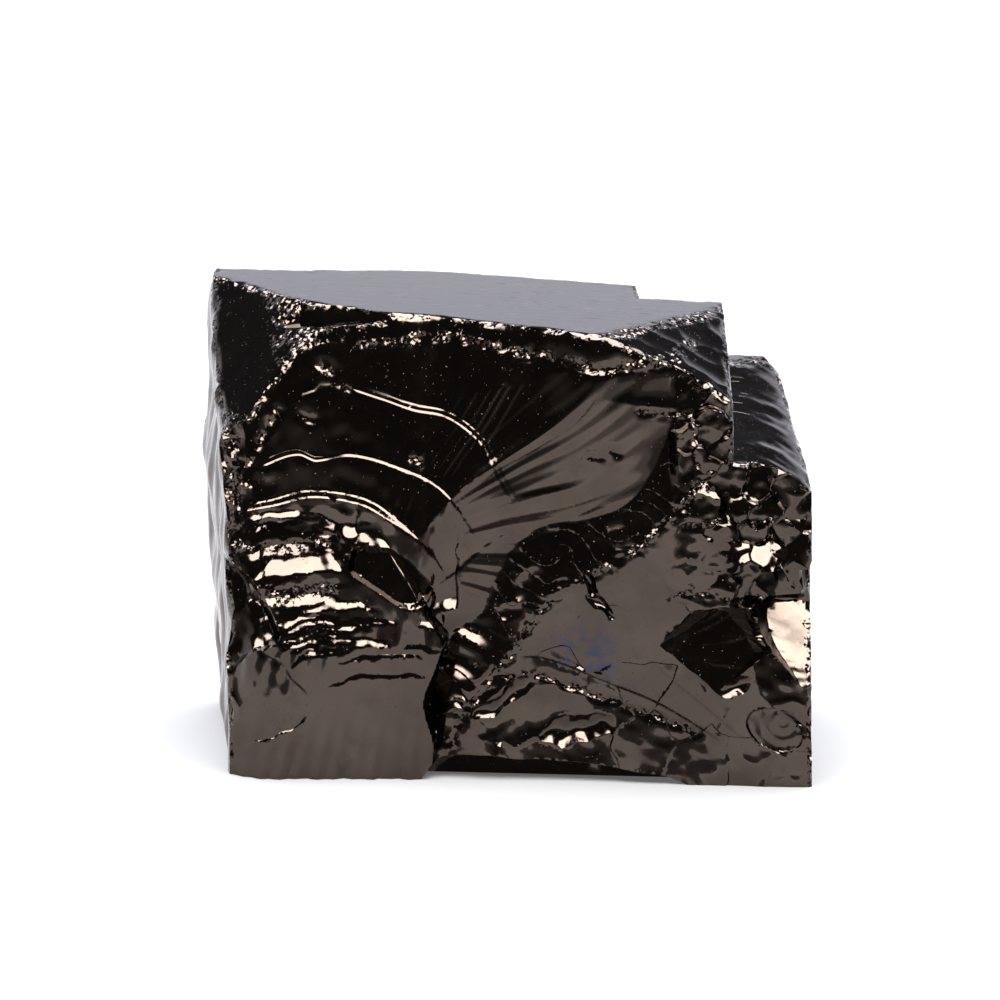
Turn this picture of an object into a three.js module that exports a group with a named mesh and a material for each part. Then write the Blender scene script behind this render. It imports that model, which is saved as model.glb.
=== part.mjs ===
// Raw shungite: one broken block of glassy black stone resting on its flat underside.
// Millimetres, +Z up, front broken face towards -Y, origin at the middle of the underside.
import * as THREE from 'three';
import { mergeVertices } from 'three/addons/utils/BufferGeometryUtils.js';

// Overall size of the block.
const WIDTH = 52;
const DEPTH = 36.2;
const HEIGHT = 38.6;
const HALF_WIDTH = WIDTH / 2;
const HALF_DEPTH = DEPTH / 2;

// Surface mesh: strips across the width, the depth and the height.
const ACROSS = 41;
const THROUGH = 18;
const UPWARD = 30;
// Solid heart of the block that every surface point is reached from.
const HEART_LOW = [-15, -5, 9];
const HEART_HIGH = [9, 7, 25];
const REACH = 1.35;
const MARCH_STEPS = 40;
const HALVINGS = 22;
const CREASE_PASSES = 2;
const CREASE_PULL = 0.12;
const CREASE_LIMIT = 0.8;
const PROBE = 0.02;

// Front face: flat datum the breaks are measured from, in depth behind it.
const FRONT_Y = -15.5;
const FRONT_SKEW = -0.1;
// Height of the zero line of the front's own layout above the underside.
const FRONT_ZERO = 0.17;
// Smooth lower-left face: how far forward it stands, its right edge (z, x) and where it ends above.
const LOWER_LEFT_Y = -15.9;
const LOWER_LEFT_EDGE = [[-1, -5.3], [2.7, -4.9], [6.3, -5.7], [9.5, -4.6], [11.5, -4.2], [13.5, -5.5],
  [16, -7], [19, -9], [22, -11]];
const LOWER_LEFT_HEAD = 11;
const LOWER_LEFT_FADE = 9.5;
// Top: one smooth plane falling to the right.
const TOP_Z = 37.4;
const TOP_FALL = -0.05;

// Line across the front where the face starts to lean back (x, z).
const BREAK_LINE = [[-26, 21], [-21.9, 21.6], [-18.3, 21.9], [-15.6, 22.7], [-13.3, 22.7], [-11.1, 22.3],
  [-9.1, 21.3], [-6.6, 19.9], [-4.6, 22.2], [-2.5, 24.3], [0.3, 26.2], [3.6, 28.4], [6, 30.4],
  [8.1, 32.8], [9.4, 36], [12, 44]];
const BREAK_LEAN = 0.125;
const BREAK_BAND = 0.5;
// Length the slope of that line is taken over, and the length its corners are rounded by.
const LINE_REACH = 3.5;
const SOFT_CORNER = 1.5;
// Edge of the raised lower-right block (x, z) and the steepness of the step up to it.
const STEP_EDGE = [[-5.6, -3], [-4.7, -0.2], [-3.4, 3.1], [-2.2, 6.1], [0.1, 9.3], [1.9, 11.7], [3.2, 14.1],
  [4.7, 15.6], [6.9, 17], [9.5, 18.2], [11.8, 19.6], [13.5, 21.2], [15.8, 23.7], [18.2, 26.3], [26, 34]];
const STEP_SLOPE = 0.3;
const STEP_STEEPER = 0.3;
// Depth of the groove between that step and the smooth lower-left face.
const GROOVE = 1.1;
// Stepped ribs round one point: direction in degrees from upright, radius.
const RIB_CENTRE = [-12.5, 13.3];
const RIBS = [
  {
    radius: [[-30, 17.6], [-15, 17.9], [-3, 18.4], [18.5, 17.6], [38, 18.2], [53.5, 16.9]],
    from: -18,
    to: 54,
    rise: 0.18,
  },
  {
    radius: [[-40, 14.2], [-29, 13.7], [-11, 12.6], [19, 12.8], [42, 13.1], [54, 12.7]],
    from: -34,
    to: 54,
    rise: 0.16,
  },
  {
    radius: [[-50, 12.5], [-34, 10.5], [-18, 9.9], [9, 9.1], [43, 8.85], [70, 8.9]],
    from: -52,
    to: 64,
    rise: 0.21,
  },
];
const RIB_STEP = 0.9;
const RIB_RETURN = 4;
const RIB_SETTLE = 0.4;

// Ledges on the left: start x, z, end x, z, height of the step, width of the fall behind it.
const LEDGES = [
  [-21.5, 20.1, -11, 19.6, 0.9, 1.6],
  [-21.5, 16, -8, 17.4, 1.1, 2.2],
  [-20.5, 13, -8, 13.6, 0.7, 1.6],
  [-18, 9.4, -5.5, 11, 0.6, 1.8],
];
const LEDGE_TAPER = 0.35;

// Hollow flake scars: centre x, z, radii, turn in degrees, depth, lean per mm sideways and upward, floor.
const CUT_SCARS = [
  [-8.9, 16.7, 3.3, 2.3, -25, 0.2, 0, 0.2, 0.45],
  [-17.9, 6.3, 2.5, 2, 0, 0.16, 0.05, 0.02, 0],
];
// Right side of the chip broken from the left edge (z, x).
const CHIP_SIDE = [[7.2, -23], [9, -21.3], [10.6, -19.3], [12, -17.9], [15, -19.4], [17, -20.9],
  [18.5, -22.5]];
const RISER_SCARS = [
  [2.2, 16.6, 2.4, 1.3, 50, 0.5, 0, 0.05, 0.6],
  [-3.3, 13.7, 1, 1.3, 30, 0.3, 0, 0.75, 0.6],
  [-0.6, 12.7, 1.5, 0.8, 20, 0.3, 0, 0.75, 0.2],
];
const BLOCK_SCARS = [
  [8.2, 13.4, 6.5, 3.4, 15, 0.45, -0.02, 0.03, 0],
  [3.6, 4.3, 5, 2.6, 8, 0.8, 0, 0.1, 0],
  [5.7, 3.7, 2.3, 1, 12, 0.5, 0, 0.75, 0.3],
  [22.8, 5, 2.9, 2.5, -20, 0.7, 0, 0.05, 0],
  [17.9, 11.9, 4.7, 3.7, -18, 0.55, 0.02, 0.25, 0.1],
];

// Steep scar at the right, seen as a bright slope, and the broken ground above it.
const SLOPE_SIDE = [[6, 27], [9.4, 24.1], [11.4, 22.3], [13.1, 21.4], [14.8, 21], [18, 19.5], [24, 17],
  [34, 14]];
const SLOPE_FOOT = 8.3;
const SLOPE_HEAD = 14.6;
const SLOPE_LEAN = 0.62;
const UPPER_LEAN = 0.3;
// Undercut chipped along the foot of the front (x, z), how it runs in and how deep it goes.
const FOOT_CHIP = [[-7.5, -3], [-6.4, -0.5], [-5, 1.3], [-4.4, 1.7], [0.5, 1.8], [5.2, 1.6], [10, 1],
  [15, 0.1], [18, -0.6]];
const FOOT_SLOPE = 6;
const FOOT_DEEP = 2.3;
const FOOT_LEAN = 0.25;

// Outline of the side faces: left at the back (z, x), back (x, y), shoulder height.
const LEFT_FRONT = -22.2;
const LEFT_BACK = [[0, -24], [6, -24.5], [12, -24.9], [17, -25.3], [20, -25.4], [23, -25.8], [26, -25.4],
  [30, -24.9], [33, -25.3], [36, -25.2], [38.6, -24.7]];
const RIGHT_X = [[0, 26.1], [3, 25.95], [6, 25.9], [18, 25.95], [22, 26], [24.5, 25.9], [27, 25.4],
  [29, 25.1], [30.4, 24.6], [31.6, 23.6], [33, 22]];
const RIGHT_BACK_FALL = 0.02;
const BACK_Y = [[-27, 12.4], [-24, 13.4], [-14, 15.9], [-5, 18.1], [4, 17.1], [12.2, 15.6], [20, 13.8],
  [27, 11.4]];
// Slanting flake that took the upper-left front corner off.
const CORNER_POINT = [-19.9, 1.7, 38.4];
const CORNER_NORMAL = [-0.642, -0.446, 0.624];
const CORNER_HOLLOW = 0.45;
// Smaller facet beside it, and the dished lip in front of the top (x, y of its edge).
const RIM_POINT = [-16.5, -2.8, 38.2];
const RIM_NORMAL = [-0.5, -0.5, 0.707];
const LIP_EDGE = [[-16.5, -2.8], [-14.7, -5], [-12.2, -5.8], [-9.7, -7.7], [-7, -9.6], [-3.5, -11.2],
  [1, -14], [6, -18]];
const LIP_Z = 37.65;
const LIP_FALL = 0.12;
// Facet that runs down from the right end of the top.
const FACET_POINT = [9.3, -14.5, 36.7];
const FACET_DIRECTION = [0.886, -0.463];
const FACET_FALL = 0.55;
// Upper-right corner broken away down to a shoulder.
const SHOULDER_X = 19.4;
const SHOULDER_Z = [[-20, 25.8], [-12, 27.3], [-4, 28.9], [4, 30.4], [12, 31.9], [16, 32.5]];
const SHOULDER_ROUND = 0.05;
// Back right corner of the top broken away.
const NOTCH_X = 12.3;
const NOTCH_Y = 7.8;
const NOTCH_Z = 31;
// Chipped texture: size of a chip and how deep it bites on each side.
const CHIP_SIZE = 4.2;
const CHIP_BITE = 0.5;
const ROUGH_SIZE = 3.2;
const ROUGH_BITE = 0.6;

const clamp = (v, low, high) => Math.min(high, Math.max(low, v));

function smooth(a) {
  const s = clamp(a, 0, 1);
  return s * s * (3 - 2 * s);
}

function ramp(d, width) {
  return smooth(d / width + 0.5);
}

// Smooth curve through knots [t, value].
function curve(t, knots) {
  const last = knots.length - 1;
  let i = 0;
  while (i < last - 1 && t > knots[i + 1][0]) {
    i += 1;
  }
  const tangent = (j) => {
    const a = knots[Math.max(j - 1, 0)];
    const b = knots[Math.min(j + 1, last)];
    return (b[1] - a[1]) / (b[0] - a[0]);
  };
  const span = knots[i + 1][0] - knots[i][0];
  const s = clamp((t - knots[i][0]) / span, 0, 1);
  const r = 1 - s;
  const ends = knots[i][1] * (1 + 2 * s) * r * r + knots[i + 1][1] * s * s * (3 - 2 * s);
  const bend = tangent(i) * span * s * r * r - tangent(i + 1) * span * s * s * r;
  return ends + bend;
}

// Distance above a line drawn across the front face.
function above(x, z, line) {
  const slope = (curve(x + LINE_REACH, line) - curve(x - LINE_REACH, line)) / (2 * LINE_REACH);
  return (z - curve(x, line)) / Math.hypot(1, slope);
}

// The value where it is positive and 0 where it isn't, with the corner rounded off.
function softPositive(t) {
  return (t + Math.hypot(t, SOFT_CORNER)) / 2;
}

// Distance from a path drawn across the front face, positive above it.
function beyond(x, z, path) {
  let best = Infinity;
  let side = 1;
  for (let i = 0; i < path.length - 1; i += 1) {
    const [x0, z0] = path[i];
    const dx = path[i + 1][0] - x0;
    const dz = path[i + 1][1] - z0;
    const s = clamp(((x - x0) * dx + (z - z0) * dz) / (dx * dx + dz * dz), 0, 1);
    best = Math.min(best, Math.hypot(x - x0 - s * dx, z - z0 - s * dz));
    if (x >= x0) {
      side = z - z0 - (dz / dx) * (x - x0);
    }
  }
  return best * Math.sign(side);
}

// Three repeatable fractions for one cell of the chip pattern.
function cellFractions(i, j, k) {
  let n = (Math.imul(i, 73856093) ^ Math.imul(j, 19349663) ^ Math.imul(k, 83492791)) >>> 0;
  n = Math.imul(n ^ (n >>> 13), 1274126177) >>> 0;
  n = (n ^ (n >>> 15)) >>> 0;
  return [(n & 1023) / 1023, ((n >>> 10) & 1023) / 1023, ((n >>> 20) & 1023) / 1023];
}

// Hollow chips meeting at crisp ridges: 0 in the middle of a chip, about 1 on its rim.
function chips(x, y, z, size) {
  const p = [x / size, y / size, z / size];
  const c = p.map(Math.floor);
  let best = 9;
  for (let i = -1; i <= 1; i += 1) {
    for (let j = -1; j <= 1; j += 1) {
      for (let k = -1; k <= 1; k += 1) {
        const f = cellFractions(c[0] + i, c[1] + j, c[2] + k);
        const flat = (c[0] + i + f[0] - p[0]) ** 2 + (c[1] + j + f[1] - p[1]) ** 2;
        best = Math.min(best, flat + (c[2] + k + f[2] - p[2]) ** 2);
      }
    }
  }
  return best;
}

function scar(x, z, [cx, cz, rx, rz, turn, depth, leanX, leanZ, floor]) {
  const a = THREE.MathUtils.degToRad(turn);
  const dx = x - cx;
  const dz = z - cz;
  const p = dx * Math.cos(a) + dz * Math.sin(a);
  const q = -dx * Math.sin(a) + dz * Math.cos(a);
  return floor + depth * (1 - (p / rx) ** 2 - (q / rz) ** 2) + leanX * dx + leanZ * dz;
}

function deepest(x, z, depth, scars) {
  return scars.reduce((d, s) => Math.max(d, scar(x, z, s)), depth);
}

function ribDepth(x, z) {
  const dx = x - RIB_CENTRE[0];
  const dz = z - RIB_CENTRE[1];
  const r = Math.hypot(dx, dz);
  const angle = THREE.MathUtils.radToDeg(Math.atan2(dx, dz));
  let depth = 0;
  for (const rib of RIBS) {
    const out = r - curve(angle, rib.radius);
    const ends = smooth((angle - rib.from) / 8) * smooth((rib.to - angle) / 8);
    depth += ends * rib.rise * (ramp(out, RIB_STEP) - RIB_SETTLE * smooth((out - RIB_STEP) / RIB_RETURN));
  }
  return depth;
}

function ledgeDepth(x, z, [x0, z0, x1, z1, rise, fall]) {
  const s = clamp((x - x0) / (x1 - x0), 0, 1);
  const up = z - (z0 + (z1 - z0) * s);
  const height = rise * smooth(s / LEDGE_TAPER) * smooth((1 - s) / LEDGE_TAPER);
  return height * clamp(up / rise, 0, 1) * Math.exp(-Math.max(up - rise, 0) / fall);
}

// Large upper-left break: fan, leaning panels, ledges and the smooth lower-left face.
function breakDepth(x, z) {
  let d = 0.6 + 0.6 * smooth((-3 - x) / 5) + 0.065 * softPositive(z - 15) + 0.055 * Math.max(x + 6.5, 0);
  d += 0.03 * Math.max(x - 8, 0) ** 2 * smooth((z - 22) / 8) + 0.12 * softPositive(z - 33.5);
  d += 0.4 * smooth((x + 6) / 3) * smooth((9 - x) / 5) * smooth((24 - z) / 6);
  d += 0.11 * smooth((-2 - x) / 4) * (softPositive(z - 14.5) - softPositive(z - 24));
  const e = Math.max(above(x, z, BREAK_LINE), 0);
  const band = smooth((x + 6.8) / 2.5) * smooth((8.5 - x) / 5);
  d += BREAK_LEAN * e + BREAK_BAND * band * (1 - Math.exp(-e / 1.1));
  d += ribDepth(x, z);
  const forward = LOWER_LEFT_Y - FRONT_Y - FRONT_SKEW * x + 1.8 * smooth((-19.5 - x) / 3) - 0.6;
  const fade = clamp((LOWER_LEFT_HEAD + LOWER_LEFT_FADE - z) / LOWER_LEFT_FADE, 0, 1);
  const face = ramp(curve(z, LOWER_LEFT_EDGE) - x, 0.8);
  d += forward * fade * face + GROOVE * smooth((14 - z) / 4) * (1 - face);
  const base = d;
  for (const ledge of LEDGES) {
    d += smooth((24 - z) / 3) * ledgeDepth(x, z, ledge);
  }
  for (const cut of CUT_SCARS) {
    d = Math.max(d, base + scar(x, z, cut));
  }
  const inside = curve(z, CHIP_SIDE) - x;
  return Math.max(d, base + Math.min(1.8 * inside, 0.8 + 0.2 * (z - 9.5) + 0.12 * inside));
}

// Lower-right block: its pocket and the steep scar at the right.
function blockDepth(x, z) {
  const lower = SLOPE_LEAN * (z - SLOPE_FOOT);
  const upper = SLOPE_LEAN * (SLOPE_HEAD - SLOPE_FOOT) + 0.13 * (z - SLOPE_HEAD);
  const ground = z < SLOPE_HEAD ? lower : upper + UPPER_LEAN * softPositive(z - 21);
  const side = 3 - 2.5 * smooth((z - 13.5) / 4);
  return deepest(x, z, Math.min(ground, side * (x - curve(z, SLOPE_SIDE))), BLOCK_SCARS);
}

function frontY(x, height) {
  const z = height - FRONT_ZERO;
  const slope = STEP_SLOPE + STEP_STEEPER * smooth((x - 6) / 8);
  const riser = deepest(x, z, slope * beyond(x, z, STEP_EDGE), RISER_SCARS);
  const step = Math.min(Math.max(riser, 0), breakDepth(x, z));
  const foot = Math.min(FOOT_SLOPE * (curve(x, FOOT_CHIP) - z), FOOT_DEEP + FOOT_LEAN * z);
  return FRONT_Y + FRONT_SKEW * x + Math.max(step, blockDepth(x, z), foot);
}

function leftX(y, z) {
  const back = clamp((y + 13.3) / 26, 0, 1);
  const stripes = 0.12 * Math.sin(1.1 * y + 0.06 * z) + 0.07 * Math.sin(2.7 * y);
  return LEFT_FRONT + (curve(z, LEFT_BACK) - LEFT_FRONT) * back + stripes;
}

function shoulderZ(x, y) {
  return curve(y, SHOULDER_Z) - SHOULDER_ROUND * Math.max(x - 19.5, 0) ** 2;
}

function beyondPlane(x, y, z, point, normal) {
  return normal[0] * (x - point[0]) + normal[1] * (y - point[1]) + normal[2] * (z - point[2]);
}

// Negative inside the stone, positive outside.
function outside(x, y, z) {
  const bite = CHIP_BITE * (chips(x, y, z, CHIP_SIZE) - 0.4);
  const rough = smooth((x - 13) / 5) * smooth((z - 15) / 4) * smooth((7 - y) / 6);
  const ragged = ROUGH_BITE * rough * (0.45 - chips(x, y, z, ROUGH_SIZE));
  const front = frontY(x, z) + ragged - y;
  const left = leftX(y, z) - x;
  const behind = Math.max(y + 8, 0);
  const right = x - curve(z, RIGHT_X) + RIGHT_BACK_FALL * behind - 0.4 * bite * smooth(behind / 8);
  const back = y - curve(x, BACK_Y) + 0.3 - bite;
  const top = z - (TOP_Z + TOP_FALL * x);
  const hollow = CORNER_HOLLOW * Math.exp(-(((z - 30) / 5) ** 2));
  const corner = beyondPlane(x, y, z, CORNER_POINT, CORNER_NORMAL) + hollow;
  const rim = beyondPlane(x, y, z, RIM_POINT, RIM_NORMAL);
  const ahead = 0.8 * (curve(x, LIP_EDGE) - y);
  const dish = LIP_Z + LIP_FALL * Math.min(x + 5.5, 0) - 0.3 * ahead * smooth((-10.5 - x) / 3);
  const lip = Math.min(z - dish, 3 * ahead);
  const run = FACET_DIRECTION[0] * (x - FACET_POINT[0]) + FACET_DIRECTION[1] * (y - FACET_POINT[1]);
  const facet = 0.85 * (z - (FACET_POINT[2] - FACET_FALL * run));
  const shoulder = Math.min(x - SHOULDER_X, z - shoulderZ(x, y) + 0.4 * ragged);
  const notch = Math.min(x - NOTCH_X, y - NOTCH_Y, z - NOTCH_Z);
  return Math.max(front, left, right, back, top, -z, corner, rim, lip, facet, shoulder, notch);
}

function slopeOf(p) {
  const here = outside(p.x, p.y, p.z);
  return new THREE.Vector3(
    outside(p.x + PROBE, p.y, p.z) - here,
    outside(p.x, p.y + PROBE, p.z) - here,
    outside(p.x, p.y, p.z + PROBE) - here,
  ).divideScalar(PROBE);
}

// First point where a ray from the heart of the block leaves the stone.
function surfacePoint(target) {
  const heart = new THREE.Vector3(
    clamp(target.x, HEART_LOW[0], HEART_HIGH[0]),
    clamp(target.y, HEART_LOW[1], HEART_HIGH[1]),
    clamp(target.z, HEART_LOW[2], HEART_HIGH[2]),
  );
  const at = (t) => heart.clone().lerp(target, t);
  let low = 0;
  let high = REACH;
  for (let i = 1; i <= MARCH_STEPS; i += 1) {
    const t = (REACH * i) / MARCH_STEPS;
    const p = at(t);
    if (outside(p.x, p.y, p.z) > 0) {
      high = t;
      break;
    }
    low = t;
  }
  for (let i = 0; i < HALVINGS; i += 1) {
    const middle = (low + high) / 2;
    const p = at(middle);
    if (outside(p.x, p.y, p.z) > 0) {
      high = middle;
    } else {
      low = middle;
    }
  }
  return at((low + high) / 2);
}

// Draw each vertex to the point its neighbouring facets meet in, so that edges come out crisp.
function sharpen(points, triangles) {
  const sums = points.map((p) => {
    const own = p.clone().multiplyScalar(CREASE_PULL);
    return { m: new THREE.Matrix3().identity().multiplyScalar(CREASE_PULL), v: own };
  });
  const centre = new THREE.Vector3();
  for (let t = 0; t < triangles.length; t += 3) {
    const corners = [triangles[t], triangles[t + 1], triangles[t + 2]];
    centre.set(0, 0, 0);
    corners.forEach((c) => centre.addScaledVector(points[c], 1 / 3));
    let slope = slopeOf(centre);
    for (let i = 0; i < 3; i += 1) {
      centre.addScaledVector(slope, -outside(centre.x, centre.y, centre.z) / Math.max(slope.lengthSq(), 0.5));
      slope = slopeOf(centre);
    }
    const n = slope.normalize();
    const offset = n.dot(centre);
    for (const c of corners) {
      const e = sums[c].m.elements;
      const parts = [n.x, n.y, n.z];
      for (let i = 0; i < 9; i += 1) {
        e[i] += parts[i % 3] * parts[Math.floor(i / 3)];
      }
      sums[c].v.addScaledVector(n, offset);
    }
  }
  return points.map((p, i) => {
    const move = sums[i].v.applyMatrix3(sums[i].m.invert()).sub(p);
    return p.clone().add(move.clampLength(0, CREASE_LIMIT));
  });
}

// Split each four-cornered cell along the diagonal that lies closer to the surface.
function splitCells(points, cells) {
  const gap = (a, b) => {
    const p = points[a].clone().add(points[b]).multiplyScalar(0.5);
    return Math.abs(outside(p.x, p.y, p.z));
  };
  return cells.flatMap(([a, b, c, d]) => (gap(a, c) < gap(b, d) ? [a, b, c, a, c, d] : [a, b, d, b, c, d]));
}

function buildStone() {
  const box = new THREE.BoxGeometry(WIDTH, DEPTH, HEIGHT, ACROSS, THROUGH, UPWARD);
  box.deleteAttribute('normal');
  box.deleteAttribute('uv');
  box.translate(0, 0, HEIGHT / 2);
  const geometry = mergeVertices(box, 0.001);
  const position = geometry.attributes.position;
  let points = [];
  for (let i = 0; i < position.count; i += 1) {
    points.push(surfacePoint(new THREE.Vector3().fromBufferAttribute(position, i)));
  }
  const order = geometry.index.array;
  const cells = [];
  for (let i = 0; i < order.length; i += 6) {
    cells.push([order[i], order[i + 1], order[i + 4], order[i + 2]]);
  }
  let triangles = splitCells(points, cells);
  for (let pass = 0; pass < CREASE_PASSES; pass += 1) {
    points = sharpen(points, triangles);
    triangles = splitCells(points, cells);
  }
  points.forEach((p, i) => {
    const x = clamp(p.x, -HALF_WIDTH, HALF_WIDTH);
    const y = clamp(p.y, -HALF_DEPTH, HALF_DEPTH);
    const z = p.z < 0.05 ? 0 : Math.min(p.z, HEIGHT);
    position.setXYZ(i, x, y, z);
  });
  geometry.setIndex(triangles);
  geometry.computeVertexNormals();
  return geometry;
}

const stone = new THREE.Mesh(
  buildStone(),
  new THREE.MeshStandardMaterial({ color: 0x24201e, roughness: 0.15, metalness: 0 }),
);
stone.name = 'stone';

const rawShungite = new THREE.Group();
rawShungite.name = 'raw_shungite';
rawShungite.add(stone);

export default rawShungite;
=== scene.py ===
"""Raw shungite: the looks of one broken block of glassy black stone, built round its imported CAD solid."""
import math

import bpy
import numpy as np
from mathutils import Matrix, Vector


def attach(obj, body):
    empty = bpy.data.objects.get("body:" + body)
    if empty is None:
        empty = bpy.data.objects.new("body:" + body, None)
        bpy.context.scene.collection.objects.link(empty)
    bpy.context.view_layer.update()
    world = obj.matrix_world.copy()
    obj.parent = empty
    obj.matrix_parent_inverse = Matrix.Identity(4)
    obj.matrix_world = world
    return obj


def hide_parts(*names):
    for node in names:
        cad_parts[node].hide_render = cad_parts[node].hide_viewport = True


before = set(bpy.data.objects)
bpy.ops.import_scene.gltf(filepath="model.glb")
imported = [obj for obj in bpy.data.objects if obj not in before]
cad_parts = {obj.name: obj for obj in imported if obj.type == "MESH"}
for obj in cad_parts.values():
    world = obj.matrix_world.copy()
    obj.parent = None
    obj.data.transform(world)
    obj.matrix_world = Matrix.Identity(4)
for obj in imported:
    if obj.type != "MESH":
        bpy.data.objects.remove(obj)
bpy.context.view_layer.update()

# ---------------------------------------------------------------- shape, in millimetres, as in the CAD source
MM = 1000
WIDTH, DEPTH, HEIGHT = 52.0, 36.2, 38.6
# Front: its datum, its turn per mm to the right, and the real height of its layout's zero.
FRONT_Y, FRONT_SKEW, FRONT_ZERO = -15.5, -0.1, 0.17
# Lower-left face: its place, where it starts to fade upward, over what height, and its right edge (z, x).
LOWER_LEFT_Y, LOWER_LEFT_HEAD, LOWER_LEFT_FADE = -15.9, 11.0, 9.5
LOWER_LEFT_EDGE = [(-1, -5.3), (2.7, -4.9), (6.3, -5.7), (9.5, -4.6), (11.5, -4.2), (13.5, -5.5), (16, -7),
                   (19, -9), (22, -11)]
TOP_Z, TOP_FALL = 37.4, -0.05
# Line (x, z) along which the break falls back: its lean per mm and the extra band of depth along it.
BREAK_LINE = [(-26, 21), (-21.9, 21.6), (-18.3, 21.9), (-15.6, 22.7), (-13.3, 22.7), (-11.1, 22.3),
              (-9.1, 21.3), (-6.6, 19.9), (-4.6, 22.2), (-2.5, 24.3), (0.3, 26.2), (3.6, 28.4), (6, 30.4),
              (8.1, 32.8), (9.4, 36), (12, 44)]
BREAK_LEAN, BREAK_BAND, BREAK_REACH = 0.125, 0.5, 3.5
BAND_FALL, BAND_SPANS = 1.1, ((-6.8, -4.3), (8.5, 3.5))
# Upper edge (x, z) of the dark step between the break and the block, and its depth per mm.
STEP_EDGE = [(-5.6, -3), (-4.7, -0.2), (-3.4, 3.1), (-2.2, 6.1), (0.1, 9.3), (1.9, 11.7), (3.2, 14.1),
             (4.7, 15.6), (6.9, 17), (9.5, 18.2), (11.8, 19.6), (13.5, 21.2), (15.8, 23.7), (18.2, 26.3),
             (26, 34)]
STEP_SLOPE, STEP_STEEPER, STEEPER_SPAN = 0.36, 0.24, (6, 14)
# Treads across the dark step: height, slant, wander, lean, and how much less they lean past a span. Swells,
# here and below, are given as size and start of the random draws.
TREAD, TREAD_SLANT, TREAD_WANDER, TREAD_LEAN, TREAD_LESS, TREAD_SPAN = 1.9, 0.45, 0.7, 0.24, 0.2, (-2, 2)
TREAD_WAVES, RISER_BITE, RISER_SIZE, RISER_STRETCH, RISER_BLEND = (4.5, 91), 0.25, 2.4, (1.3, 1, 1), 0.3
# Steep bright face at the right: left side (x, z), foot, head, lean, and how the front leans back above it.
SLOPE_SIDE = [(6, 27), (9.4, 24.1), (11.4, 22.3), (13.1, 21.4), (14.8, 21), (18, 19.5), (24, 17), (34, 14)]
SLOPE_FOOT, SLOPE_HEAD, SLOPE_LEAN, UPPER_LEAN = 8.3, 14.6, 0.62, 0.3
SHELF_LEAN, UPPER_START, SLOPE_STREAK, SLOPE_WAVES = 0.13, 21, 0.035, (1.3, 23)
# Wall at its left: steepness, how much softer it gets over a span, and how far it wanders over another.
SIDE_STEEP, SIDE_SOFTER, SIDE_SPAN = 3, 2.5, (13.5, 17.5)
SIDE_WANDER, WANDER_SPAN, WANDER_WAVES = 0.7, (14, 17), (4, 8)
FOOT_CHIP = [(-7.5, -3), (-6.4, -0.5), (-5, 1.3), (-4.4, 1.7), (0.5, 1.8), (5.2, 1.6), (10, 1), (15, 0.1),
             (18, -0.6)]
FOOT_SLOPE, FOOT_DEEP, FOOT_LEAN, FOOT_RAGGED, FOOT_WAVES = 6.0, 2.3, 0.25, 0.2, (5, 61)
# Left side: its place at the front corner, its far outline (z, x), and the ribs and swell across it.
LEFT_FRONT, LEFT_START, LEFT_DEPTH = -22.2, -13.3, 26
LEFT_RIBS = [(0.12, 1.1, 0.06), (0.07, 2.7, 0)]
LEFT_SWELL, LEFT_SWELL_SPAN, LEFT_WAVES = 0.25, (-14, -10), (9, 3)
LEFT_BACK = [(0, -24), (6, -24.5), (12, -24.9), (17, -25.3), (20, -25.4), (23, -25.8), (26, -25.4),
             (30, -24.9), (33, -25.3), (36, -25.2), (38.6, -24.7)]
RIGHT_X = [(0, 26.1), (3, 25.95), (6, 25.9), (18, 25.95), (22, 26), (24.5, 25.9), (27, 25.4), (29, 25.1),
           (30.4, 24.6), (31.6, 23.6), (33, 22)]
RIGHT_BACK_FALL, RIGHT_BACK, RIGHT_BITE = 0.02, -8, 0.4
BACK_Y = [(-27, 12.4), (-24, 13.4), (-14, 15.9), (-5, 18.1), (4, 17.1), (12.2, 15.6), (20, 13.8),
          (27, 11.4)]
BACK_MARGIN = 0.3
CORNER_POINT, CORNER_NORMAL = (-19.9, 1.7, 38.4), (-0.642, -0.446, 0.624)
CORNER_HOLLOW, CORNER_HOLLOW_Z, CORNER_HOLLOW_SIZE = 0.45, 30, 5
RIM_POINT, RIM_NORMAL = (-16.5, -2.8, 38.2), (-0.5, -0.5, 0.707)
LIP_EDGE = [(-16.5, -3.6), (-14.7, -4.9), (-12.2, -5.9), (-9.7, -7.7), (-7, -9.6), (-3.5, -11.2), (1, -14),
            (6, -18)]
LIP_Z, LIP_FALL, LIP_DISH = 37.65, 0.12, -5.5
LIP_AHEAD, LIP_RISE, LIP_LEAN, LIP_STEEP = 0.8, 36.5, 0.35, 3
FACET_POINT, FACET_DIRECTION, FACET_FALL = (9.3, -14.5, 36.7), (0.886, -0.463), 0.55
FACET_COSINE, FACET_REACH = 0.85, 1.5
SHOULDER_X, SHOULDER_ROUND, SHOULDER_ROUND_X = 19.4, 0.065, 19.5
SHOULDER_Z = [(-20, 25.8), (-12, 27.3), (-4, 28.9), (4, 30.4), (12, 31.9), (16, 32.5)]
NOTCH_X, NOTCH_Y, NOTCH_Z = 12.3, 7.8, 31.0
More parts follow.
